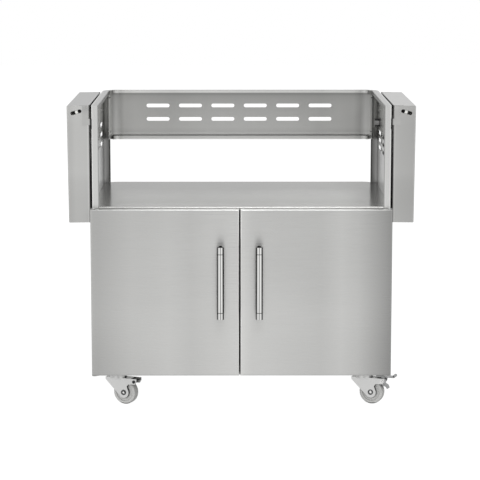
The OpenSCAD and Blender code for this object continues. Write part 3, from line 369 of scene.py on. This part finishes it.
def brushed_steel(name, colour, along, rough=0.32, streak=0.05, bands=None):
    """Brushed stainless steel whose grain runs along one axis, named X, Y or Z."""
    material, tree, output = new_material(name)
    place = add(tree, "ShaderNodeTexCoord")
    stretch = [1 / ((STREAK_MM if axis == along else GRAIN_MM) * MM) for axis in "XYZ"]
    grain_at = add(tree, "ShaderNodeMapping", Vector=place.outputs["Object"], Scale=stretch)
    grain = add(tree, "ShaderNodeTexNoise", Vector=grain_at.outputs[0], Scale=1.0, Detail=3.0, Roughness=0.6)
    wave = add(tree, "ShaderNodeTexNoise", Vector=place.outputs["Object"], Scale=1 / (WAVE_MM * MM),
               Detail=1.0)
    change = streak + WAVINESS
    amount = add(tree, "ShaderNodeMath", {"operation": "MULTIPLY_ADD"}, i0=grain.outputs["Fac"],
                 i1=streak / change, i2=0.0)
    both = add(tree, "ShaderNodeMath", {"operation": "MULTIPLY_ADD"}, i0=wave.outputs["Fac"],
               i1=WAVINESS / change, i2=amount.outputs[0])
    tint = add(tree, "ShaderNodeMix", {"data_type": "RGBA"}, i0=both.outputs[0],
               i6=lighter(linear(colour), 1 - change), i7=lighter(linear(colour), 1 + change))
    # Painted light and shade: one tone table for each axis that has one.
    for axis, table in (bands or {}).items():
        tint = painted_light_bands(tree, place.outputs["Object"], axis, table, tint.outputs[2])
    # Painted shade in gaps and folds, multiplied into the colour.
    tint = add(tree, "ShaderNodeMix", {"data_type": "RGBA", "blend_type": "MULTIPLY"}, i0=1.0,
               i6=tint.outputs[2], i7=painted_crevice_shade(tree).outputs[0])
    gloss = add(tree, "ShaderNodeMapRange", Value=grain.outputs["Fac"], From_Min=GRAIN_LOW,
                From_Max=GRAIN_HIGH, To_Min=rough * (1 - GLOSS_CHANGE), To_Max=rough * (1 + GLOSS_CHANGE))
    scratches = add(tree, "ShaderNodeBump", Height=grain.outputs["Fac"], Strength=SCRATCH_STRENGTH,
                    Distance=SCRATCH_DEPTH)
    facing = add(tree, "ShaderNodeNewGeometry")
    square_on = add(tree, "ShaderNodeVectorMath", {"operation": "CROSS_PRODUCT"},
                    i0=facing.outputs["Normal"], i1=[float(axis == along) for axis in "XYZ"])
    crosswise = add(tree, "ShaderNodeVectorMath", i0=square_on.outputs[0], i1=OFF_AXIS)
    steel = add(tree, "ShaderNodeBsdfPrincipled", Base_Color=tint.outputs[2], Roughness=gloss.outputs[0],
                Normal=scratches.outputs[0], Tangent=crosswise.outputs[0], Metallic=1.0, Anisotropic=SMEAR)
    tree.links.new(steel.outputs[0], output.inputs["Surface"])
    return material


print("grain drawn", GRAIN_MM, "mm wide and", STREAK_MM, "mm long")

# %% [markdown]
# ## Doors and base pan
# The doors are the largest mirror on the cart. They are brushed across, so what they mirror smears up and
# down. One slow swell from side to side is painted light and shade: lighter in the middle, darker towards the
# outer ends, and darkest at the right, which faces away from the lamp. Painted shade also sinks the tone a
# little towards the floor, and a painted highlight marks the folded edge at the split. The base pan under
# them is the same sheet, painted a darker grey for the shade it sits in.

# %% Steel of the doors and the base pan
DOOR_WIDTH = [(-450, 0.7), (-430, 0.7), (-330, 0.89), (-220, 0.97), (-150, 0.93), (-94, 1.0), (-6, 1.05),
              (0, 1.12), (30, 1.0), (85, 0.97), (240, 0.865), (300, 0.92), (350, 0.82), (415, 0.58),
              (450, 0.44)]
DOOR_HEIGHT = [(100, 0.72), (104, 0.74), (110, 0.9), (150, 0.91), (200, 0.935), (250, 0.97), (300, 0.995),
               (620, 1.0)]
# Sheet with a tighter brush, its base grey set lighter as painted light: the eye gets a bright and rather
# even face.
door_steel = brushed_steel("stainless steel brushed across the doors", "#EDEDEB", "X", rough=0.3,
                           streak=0.03, bands={"X": DOOR_WIDTH, "Z": DOOR_HEIGHT})
# The same sheet without bands, its grey set darker as painted shade: a plain mid grey strip under the doors.
pan_steel = brushed_steel("stainless steel brushed along the base", "#BEBEBC", "X")
print(door_steel.name, "and", pan_steel.name)

# %% [markdown]
# ## Back panels
# The upper back panel is brushed upright. Its tones are painted light and shade: even in the middle, a
# lighter patch before each end and a darker one where the corner wraps it, and at the end a painted highlight
# on the corner's edge and the dark line of the seam. Upwards come a painted highlight on its lower fold, an
# even field, and painted shade under the rim with a painted highlight on the rim's bend above it. Its other
# side, and all of the cart's back, is plain.

# %% Steel of the back panels
BACK_WIDTH = [(-435, 0.4), (-428, 1.8), (-424, 0.85), (-418, 0.58), (-405, 0.78), (-380, 1.18), (-345, 1.24),
              (-230, 1.04), (260, 1.01), (320, 1.12), (370, 1.1), (408, 0.73), (416, 0.73), (428, 1.3),
              (431, 0.4)]
BACK_HEIGHT = [(755, 1.6), (761, 1.6), (764, 1.3), (771, 1.2), (784, 0.98), (797, 1.05), (825, 1.0),
               (880, 0.87), (900, 0.78), (904, 0.66), (907, 0.62), (910.5, 0.66), (912, 1.45), (916, 1.5),
               (918, 1.35), (920, 1.28)]
# Upright brushing: what it mirrors smears sideways, so the panel stays even along its middle.
panel_steel = brushed_steel("stainless steel brushed up the back panels", "#C2C2C0", "Z",
                            bands={"X": BACK_WIDTH, "Z": BACK_HEIGHT})
# The plain rear faces: one even grey.
rear_steel = brushed_steel("stainless steel brushed across the back", "#C6C6C4", "X")
print(panel_steel.name, "and", rear_steel.name)

# %% [markdown]
# ## Side panels
# One sheet makes the front post, the wall and the rounded rear corner, so its faces look in very different
# directions and need three steels: the posts with painted highlights on their bends and a line of painted
# shade where the return turns inwards, the inner side of the wall, painted light where the studio reaches it
# and painted shade low down and in the rear corner, and the plain outside.

# %% Steel of the side panels
SIDE_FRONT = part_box("left_side_panel")[0].y / MM
POST_WIDTH = [(-448, 1.3), (-446, 1.2), (-443.5, 1.0), (-433, 1.0), (-430, 1.06), (-427.3, 1.06),
              (-426.8, 0.1), (-424.5, 0.1), (424.5, 0.1), (426.8, 0.1), (427.3, 1.22), (430, 1.2),
              (433, 1.1), (443.5, 1.1), (446, 1.28), (448, 1.3)]
# Front posts: a light face between painted highlights on the two bends, and a line of painted shade at the
# return.
side_steel = brushed_steel("stainless steel brushed along the sides", "#E4E4E2", "Y", rough=0.3,
                           bands={"X": POST_WIDTH})
WALL_DEPTH = [(SIDE_FRONT, 0.3), (SIDE_FRONT + 14, 0.35), (SIDE_FRONT + 20, 1.18), (-210, 1.18),
              (-140, 1.03), (-90, 1.0), (276, 1.0), (281, 0.42), (288, 0.66), (300, 0.5), (328, 0.38),
              (334, 0.15), (345, 0.15)]
WALL_HEIGHT = [(100, 1.0), (600, 1.0), (610, 0.74), (700, 0.66), (780, 0.7), (805, 0.93), (840, 1.12),
               (870, 1.18), (890, 1.08), (908, 1.05)]
# Inner walls: the same sheet, painted bright near the front and sinking into painted shade in the corner.
wall_steel = brushed_steel("stainless steel on the inner side of the walls", "#E4E4E2", "Y", rough=0.3,
                           bands={"Y": WALL_DEPTH, "Z": WALL_HEIGHT})
# Outsides of the side panels and the shelves: one even grey.
outside_steel = brushed_steel("stainless steel on the outside of the sides", "#C6C6C4", "Y")
print("side panels start at y", round(SIDE_FRONT, 1), "mm:", side_steel.name, "/", wall_steel.name, "/",
      outside_steel.name)

# %% [markdown]
# ## Deck
# The deck is brushed across and seen at a flat angle, which makes it the smoothest mirror of the cart.
# Painted light makes it lightest along its front bend, and painted shade darkens it towards the back and a
# little towards both ends.

# %% Steel of the deck
DECK_DEPTH = [(-262, 1.13), (-205, 1.11), (-160, 0.99), (-120, 0.97), (-50, 0.94), (50, 0.85), (150, 0.8),
              (330, 0.79)]
DECK_WIDTH = [(-450, 0.9), (-350, 0.92), (-260, 0.95), (-170, 0.94), (-100, 0.95), (60, 0.98), (300, 1.03),
              (360, 0.93), (400, 0.86), (450, 0.84)]
# A glossier brush: the deck shows a soft picture of the panels that stand on it.
deck_steel = brushed_steel("stainless steel brushed across the deck", "#C2C2C0", "X", rough=0.24,
                           bands={"Y": DECK_DEPTH, "X": DECK_WIDTH})
print(deck_steel.name)

# %% [markdown]
# ## Shelves and rim
# A hanging shelf shows the skirt of its front edge, which is even, with painted shade a little darker at its
# lower end. The skirt's bend next to the cabinet is a thin painted highlight, and what lies behind the bend,
# facing the gap, is painted nearly black as shade. On top shows the skirt of the shelf's far end, with the
# same painted lines. The rim is one flat strip with a painted highlight on its outer edge, and painted shade
# on the bend of its lip.

# %% Steel of the shelves and the rim
SHELF_IN = -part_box("left_shelf")[1].x / MM
LEFT_DARK, LEFT_BRIGHT, LEFT_END = SHELF_IN + 0.3, SHELF_IN + 0.6, SHELF_IN + 4.5
RIGHT_DARK, RIGHT_BRIGHT, RIGHT_END = SHELF_IN + 0.2, SHELF_IN + 0.5, SHELF_IN + 4.0
PAINTED_GAP_SHADE = [(-LEFT_DARK, 0.05), (-SHELF_IN + 1, 0.05), (SHELF_IN - 1, 0.05), (RIGHT_DARK, 0.05)]
SHELF_WIDTH = [(-522, 0.9), (-510, 0.93), (-495, 1.02), (-LEFT_END - 1, 1.02), (-LEFT_END, 1.22),
               (-LEFT_BRIGHT, 1.22), *PAINTED_GAP_SHADE, (RIGHT_BRIGHT, 1.2), (RIGHT_END, 1.2),
               (RIGHT_END + 1, 1.0), (480, 0.94), (522, 0.86)]
SHELF_HEIGHT = [(640, 0.9), (690, 0.93), (720, 1.0), (860, 1.0), (920, 1.06)]
# Shelf skirts: a calm light grey with one painted highlight at the bend.
shelf_steel = brushed_steel("stainless steel brushed along the shelves", "#D2D2D0", "Y",
                            bands={"X": SHELF_WIDTH, "Z": SHELF_HEIGHT})
TOP_WIDTH = [(-522, 0.61), (-LEFT_END - 1, 0.61), (-LEFT_END, 0.8), (-LEFT_BRIGHT, 0.8), *PAINTED_GAP_SHADE,
             (RIGHT_BRIGHT, 1.1), (RIGHT_END, 1.1), (RIGHT_END + 1, 0.9), (522, 0.9)]
# Shelf ends, which look up: painted light and shade, darker on the left than on the right.
shelf_top_steel = brushed_steel("stainless steel brushed along the shelf ends", "#D2D2D0", "Y",
                                bands={"X": TOP_WIDTH})
RIM_WIDTH = [(-448, 1.0), (-446, 0.9), (-443, 0.52), (-430, 0.52), (-428.5, 0.62), (-428, 0.25),
             (-426.4, 0.2), (-425.8, 0.6), (-390, 0.66), (390, 0.7), (425.8, 0.66), (426.4, 0.2),
             (428, 0.25), (428.5, 0.72), (430, 0.63), (443, 0.63), (446, 0.95), (448, 1.0)]
# The rim looks up at the plain ceiling; its mid grey band, light edge and dark lip are painted reflection and
# shade.
rim_steel = brushed_steel("stainless steel brushed along the rim", "#E4E4E2", "Y", rough=0.3,
                          bands={"X": RIM_WIDTH})
print("shelves start at x", round(SHELF_IN, 2), "mm:", shelf_steel.name, "/", shelf_top_steel.name, "/",
      rim_steel.name)

# %% [markdown]
# ## Polished and plated metal
# What isn't brushed is smooth. The handle tubes are polished, caster forks are zinc plated, which gives a
# soft grey shine, and small hardware is plain, oxidised or galvanised. All of it is one recipe: a metal
# whose colour and gloss drift in faint cloudy patches, as a plating bath leaves them.

# %% Plated metal
CLOUD_LOW, CLOUD_HIGH, GLOSS_DRIFT = 0.3, 0.7, 0.2


def plated(name, colour, rough, cloud_mm=14.0, depth=0.05, shade=None, bands=None):
    """Smooth metal with faint cloudy patches. Shade is painted shade in crevices: its reach in mm and its two
    limits.
    """
    material, tree, output = new_material(name)
    place = add(tree, "ShaderNodeTexCoord")
    cloud = add(tree, "ShaderNodeTexNoise", Vector=place.outputs["Object"], Scale=1 / (cloud_mm * MM),
                Detail=4.0)
    tint = add(tree, "ShaderNodeMix", {"data_type": "RGBA"}, i0=cloud.outputs["Fac"],
               i6=lighter(linear(colour), 1 - depth), i7=lighter(linear(colour), 1 + depth))
    for axis, table in (bands or {}).items():
        tint = painted_light_bands(tree, place.outputs["Object"], axis, table, tint.outputs[2])
    # Painted shade in the crevices, multiplied into the colour.
    if shade:
        tint = add(tree, "ShaderNodeMix", {"data_type": "RGBA", "blend_type": "MULTIPLY"}, i0=1.0,
                   i6=tint.outputs[2], i7=painted_crevice_shade(tree, *shade).outputs[0])
    gloss = add(tree, "ShaderNodeMapRange", Value=cloud.outputs["Fac"], From_Min=CLOUD_LOW,
                From_Max=CLOUD_HIGH, To_Min=rough * (1 - GLOSS_DRIFT), To_Max=rough * (1 + GLOSS_DRIFT))
    metal = add(tree, "ShaderNodeBsdfPrincipled", Base_Color=tint.outputs[2], Roughness=gloss.outputs[0],
                Metallic=1.0)
    tree.links.new(metal.outputs[0], output.inputs["Surface"])
    return material


print("gloss drifts by", GLOSS_DRIFT)

# %% [markdown]
# ## Handles
# Each handle is a polished tube between two fittings of the same diameter. A thin dark stripe down its
# middle, where the camera and the dim end of the room are, and its two dark edges are painted reflections,
# and painted shade darkens the side that faces the door. A fine dark line at either end of the tube is the
# joint with its fitting. The stripe and the lines are tables again, because mirrors this small would need a
# studio built to the millimetre.

# %% Polish of the handles
TUBE_LOW, TUBE_HIGH = left_bar[0].z / MM, left_bar[1].z / MM
LEFT_MID, RIGHT_MID = ((bar[0].x + bar[1].x) / 2 / MM for bar in (left_bar, right_bar))
STRIPE, JOINT_H, JOINT_SOFT, TIP = 1.7, 2.0, 0.3, 40.0
# Painted reflection across each tube: near black edges, a light band each side and a dark stripe in the
# middle.
SHEEN = [(-10, 0.05), (-8.4, 0.05), (-7.4, 0.6), (-STRIPE, 0.9), (0, 0.3), (STRIPE, 0.9), (7.4, 0.6),
         (8.4, 0.05), (10, 0.05)]
TUBE_WIDTH = [(middle + offset, value) for middle in (LEFT_MID, RIGHT_MID) for offset, value in SHEEN]
LOW_JOINT, HIGH_JOINT = TUBE_LOW + JOINT_H, TUBE_HIGH - JOINT_H
TUBE_HEIGHT = [(TUBE_LOW - TIP, 1.0), (TUBE_LOW - JOINT_SOFT, 1.0), (TUBE_LOW, 0.2), (LOW_JOINT, 0.2),
               (LOW_JOINT + JOINT_SOFT, 1.0), (HIGH_JOINT - JOINT_SOFT, 1.0), (HIGH_JOINT, 0.2),
               (TUBE_HIGH, 0.2), (TUBE_HIGH + JOINT_SOFT, 1.0), (TUBE_HIGH + TIP, 1.0)]
# Polished tube: nearly a mirror, drawn out into long upright stripes, with painted reflection stripes and
# painted shade.
polished_tube = plated("polished stainless tube", "#F2F2F0", 0.06, cloud_mm=30.0, depth=0.02,
                       shade=(200.0, 0.6, 0.9), bands={"X": TUBE_WIDTH, "Z": TUBE_HEIGHT})
print("tubes at x", round(LEFT_MID, 1), round(RIGHT_MID, 1), "mm")

# %% [markdown]
# ## Casters and small hardware
# Forks and caster plates are bright zinc, with painted shade in their crevices and on the cut edges of the
# sheet.
# Axles are turned and bright, with a ring of painted shade round the head. Brackets are plain stainless,
# painted black as shade on the side that looks into the gap. Stiffeners, bottle ring and strike plates are
# galvanised by dipping, which leaves smaller and stronger clouds, called spangle. One recipe with other
# numbers gives them all.

# %% Zinc, oxide and plain steel
# Electroplated zinc: a soft, pale grey shine, with painted shade in its crevices.
bright_zinc = plated("bright zinc plate", "#E0E0DF", 0.36, depth=0.015, shade=(9.0, 0.25, 0.8))
# Cut edges: painted shade, a dark outline round a pale fork.
edge_shade_zinc = plated("zinc plate with painted shade on cut edges", "#4E4F51", 0.45)
# Turned steel: the brightest spot on a caster.
axle_steel = plated("bright turned axle steel", "#FAFAF9", 0.22, depth=0.01)
# A dark ring of painted shade that sets the axle off from its fork.
axle_head_shade = plated("painted shade on axle heads", "#48494A", 0.4)
# Hot-dipped zinc: blotchy and dull.
dull_zinc = plated("dull galvanised sheet", "#A9ABAC", 0.42, cloud_mm=9.0, depth=0.12)
# Pedals: a darker zinc than the fork behind them.
dark_zinc = plated("dark zinc plate", "#A4A5A5", 0.34)
# Oiled black oxide: black with a weak shine.
black_oxide = plated("black oxide steel", "#1B1B1B", 0.4)
# Plain screw heads: small and quite shiny.
screw_steel = plated("plain stainless screws", "#C4C4C3", 0.2)
BRACKET_WIDTH = [(-500, 1.0), (-453, 1.0), (-451, 0.04), (451, 0.04), (453, 1.0), (500, 1.0)]
# Unbrushed sheet: smooth and pale outside, painted dark as shade inside and in its crevices.
bracket_steel = plated("plain stainless bracket sheet", "#CFCFCD", 0.34, cloud_mm=40.0, depth=0.02,
                       shade=(8.0, 0.2, 0.75), bands={"X": BRACKET_WIDTH})
# Sintered ferrite: a dark, dusty grey.
magnet_grey = plated("sintered magnet", "#3A3A3B", 0.6, cloud_mm=2.0, depth=0.15)
print(len(bpy.data.materials), "materials so far")

# %% [markdown]
# ## Moulded plastic and rubber
# Wheels, washers, bushes and bumpers come out of a mould. They have no metal shine but a broad soft
# highlight, broken by the fine grit of the mould's surface, drawn 0.8 mm wide so that it shows. Painted shade
# darkens them in their own grooves: the same painted shade as in folds, with a shorter reach.

# %% Moulded plastic and rubber
GRIT_MM, GRIT_DEPTH = 0.8, 0.1 * MM
DARK_GRIT, LIGHT_GRIT = 0.93, 1.05
GROOVES = (8.0, 0.48, 0.86)
PLASTIC_IOR = 1.5


def moulded(name, colour, rough, bump=0.15):
    """Moulded plastic or rubber with a fine surface grit."""
    material, tree, output = new_material(name)
    place = add(tree, "ShaderNodeTexCoord")
    grit = add(tree, "ShaderNodeTexNoise", Vector=place.outputs["Object"], Scale=1 / (GRIT_MM * MM),
               Detail=2.0)
    tint = add(tree, "ShaderNodeMix", {"data_type": "RGBA"}, i0=grit.outputs["Fac"],
               i6=lighter(linear(colour), DARK_GRIT), i7=lighter(linear(colour), LIGHT_GRIT))
    # Painted shade in the grooves, multiplied into the colour.
    tint = add(tree, "ShaderNodeMix", {"data_type": "RGBA", "blend_type": "MULTIPLY"}, i0=1.0,
               i6=tint.outputs[2], i7=painted_crevice_shade(tree, *GROOVES).outputs[0])
    dent = add(tree, "ShaderNodeBump", Height=grit.outputs["Fac"], Strength=bump, Distance=GRIT_DEPTH)
    body = add(tree, "ShaderNodeBsdfPrincipled", Base_Color=tint.outputs[2], Normal=dent.outputs[0],
               Roughness=rough, IOR=PLASTIC_IOR)
    tree.links.new(body.outputs[0], output.inputs["Surface"])
    return material


# Polyamide: pale, hard and a little shiny.
pale_wheel = moulded("pale grey polyamide wheel", "#CECECC", 0.42, bump=0.05)
# Polyurethane: softer and greyer than the wheel's body.
# Tread: rougher than the wheel's body, and a darker grey that is painted shade.
shaded_tread = moulded("tread with painted shade", "#B2B2B0", 0.5, bump=0.08)
# Nylon: milky white with a waxy highlight.
white_nylon = moulded("white nylon", "#E6E6E2", 0.38)
# Rubber: black and matt.
black_rubber = moulded("black rubber", "#161616", 0.6)
# The grommet's sides: a grey painted sheen on black rubber, and smoother.
sheen_rubber = moulded("black rubber with a painted grey sheen", "#8C8C8B", 0.35)
print("moulded finishes with", GRIT_MM, "mm grit")

# %% [markdown]
# ## Giving each piece its finish
# Each piece of the frame keeps its shape and gets its finish by name. Plain words in the names make the
# table short: what ends in fork is plated zinc, what ends in wheel is moulded, and so on. The longest ending
# wins, so a name is never caught by a shorter word that it also ends in.

# %% Assign finishes
FINISHES = {
    "door_skin": door_steel, "door_liner": door_steel, "side_panel": side_steel, "back_panel": panel_steel,
    "base_pan": pan_steel, "deck": deck_steel, "deck_stiffeners": dull_zinc, "bottle_ring": dull_zinc,
    "shelf_stiffener": dull_zinc, "strike_plate": dull_zinc, "hose_grommet": black_rubber,
    "shelf_bumpers": black_rubber, "door_hinges": screw_steel, "screws": screw_steel,
    "shelf_bracket": bracket_steel, "caster_bolts": bright_zinc, "magnet_catches": white_nylon,
    "shelf_washers": white_nylon, "door_bushes": white_nylon, "catch_magnets": magnet_grey,
    "shelf_pivots": black_oxide, "left_shelf": shelf_steel, "right_shelf": shelf_steel,
    "handle_bar": polished_tube, "handle_ends": polished_tube, "caster_plates": bright_zinc,
    "fork": bright_zinc, "axle": axle_steel, "wheel": pale_wheel, "brake_pedal": dark_zinc,
}
ENDINGS = sorted(FINISHES, key=len, reverse=True)

for name, piece in NODES.items():
    piece.data.materials.clear()
    piece.data.materials.append(FINISHES[next(ending for ending in ENDINGS if name.endswith(ending))])
print("finished", len(NODES), "pieces")

# %% [markdown]
# ## A second finish on part of a piece
# One folded or moulded piece often shows two finishes. The faces that get the second one are found by where
# they look and where they lie, so nothing is drawn by hand and the mesh stays as it is.

# %% Second finishes
def second_finish(name, material, chosen):
    """Gives the faces of a piece that pass a test a second material, and returns how many did."""
    piece = NODES[name]
    piece.data.materials.append(material)
    slot = len(piece.data.materials) - 1
    faces = [polygon for polygon in piece.data.polygons if chosen(polygon)]
    for polygon in faces:
        polygon.material_index = slot
    return len(faces)


print("finishes can now be split by", second_finish.__name__)

# %% [markdown]
# ## Outside, inside and top of the sheets
# The outside of a side panel or a shelf is plain steel. The inner side of the wall and the rear corner has
# its own painted light and shade, and so have the flat rim and the shelf's upper end. The back of both back
# panels is plain as well. Each limit below is how far a face's normal leans that way.

# %% Sides of the sheets
LOOKS_OUT, LOOKS_IN, LOOKS_UP, LOOKS_BACK, LOOKS_FORWARD = 0.6, 0.02, 0.9, 0.5, 0.05
CORNER_Y, WALL_X = 268 * MM, 432 * MM

for side, inward in (("left", 1), ("right", -1)):
    panel, shelf = f"{side}_side_panel", f"{side}_shelf"
    counts = [
        second_finish(panel, outside_steel, lambda p: p.normal.x * inward < -LOOKS_OUT),
        second_finish(shelf, outside_steel, lambda p: p.normal.x * inward < -LOOKS_OUT),
        second_finish(panel, wall_steel,
                      lambda p: p.normal.x * inward > LOOKS_IN and abs(p.center.x) > WALL_X
                      or p.center.y > CORNER_Y and p.normal.y < -LOOKS_FORWARD),
        second_finish(panel, rim_steel, lambda p: p.normal.z > LOOKS_UP and p.center.z > RIM_Z - MM),
        second_finish(shelf, shelf_top_steel, lambda p: p.normal.z > LOOKS_UP),
    ]
    print(side, "faces outside on panel and shelf, inside, on the rim and on the shelf's end", counts)
for name in ("upper_back_panel", "lower_back_panel"):
    print(name, "faces on the back", second_finish(name, rear_steel, lambda p: p.normal.y > LOOKS_BACK))

# %% [markdown]
# ## Grommet, treads, sheared edges and axle heads
# The sides of the grommet are painted grey, a sheen on its black rubber. A caster wheel's tread is painted a
# darker grey than its body, as shade, and the fork's cut edges are painted darker than its plated faces, as
# shade. Both lie on faces that look away from the axle. The ring of painted shade on an axle head lies just
# outside its stub. On the left casters the ring's reach is longer, so there it takes in the tail pins too.

# %% Grommet and casters
GROMMET_SIDE, TREAD_SHARE, EDGE_SHARE = 0.55, 0.8, 0.3
STUB_R = 4.6 * MM
HEAD_REACH = {"left": 80 * MM, "right": 9 * MM}
SPIN_AXES = {joint["name"]: Vector(joint["axis"]) for joint in frame["record"]["behaviour"]["joints"]}


def off_axle(point, hub, axle):
    """Distance of a point from the axle's line."""
    arm = point - hub
    return (arm - axle * arm.dot(axle)).length


sheen_faces = second_finish("hose_grommet", sheen_rubber, lambda p: abs(p.normal.z) < GROMMET_SIDE)
print("grommet faces with a painted sheen", sheen_faces)
for side, reach in HEAD_REACH.items():
    for corner in (f"{side}_front", f"{side}_rear"):
        low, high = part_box(f"{corner}_wheel")
        hub, axle = (low + high) / 2, SPIN_AXES[f"{corner}_wheel_spin"]
        counts = [
            second_finish(f"{corner}_wheel", shaded_tread, lambda p: abs(p.normal.dot(axle)) < TREAD_SHARE),
            second_finish(f"{corner}_fork", edge_shade_zinc,
                          lambda p: abs(p.normal.dot(axle)) < EDGE_SHARE and abs(p.normal.z) < LOOKS_UP),
            second_finish(f"{corner}_axle", axle_head_shade,
                          lambda p: STUB_R < off_axle(p.center, hub, axle) < reach),
        ]
        print(corner, "tread, edge and head faces", counts)
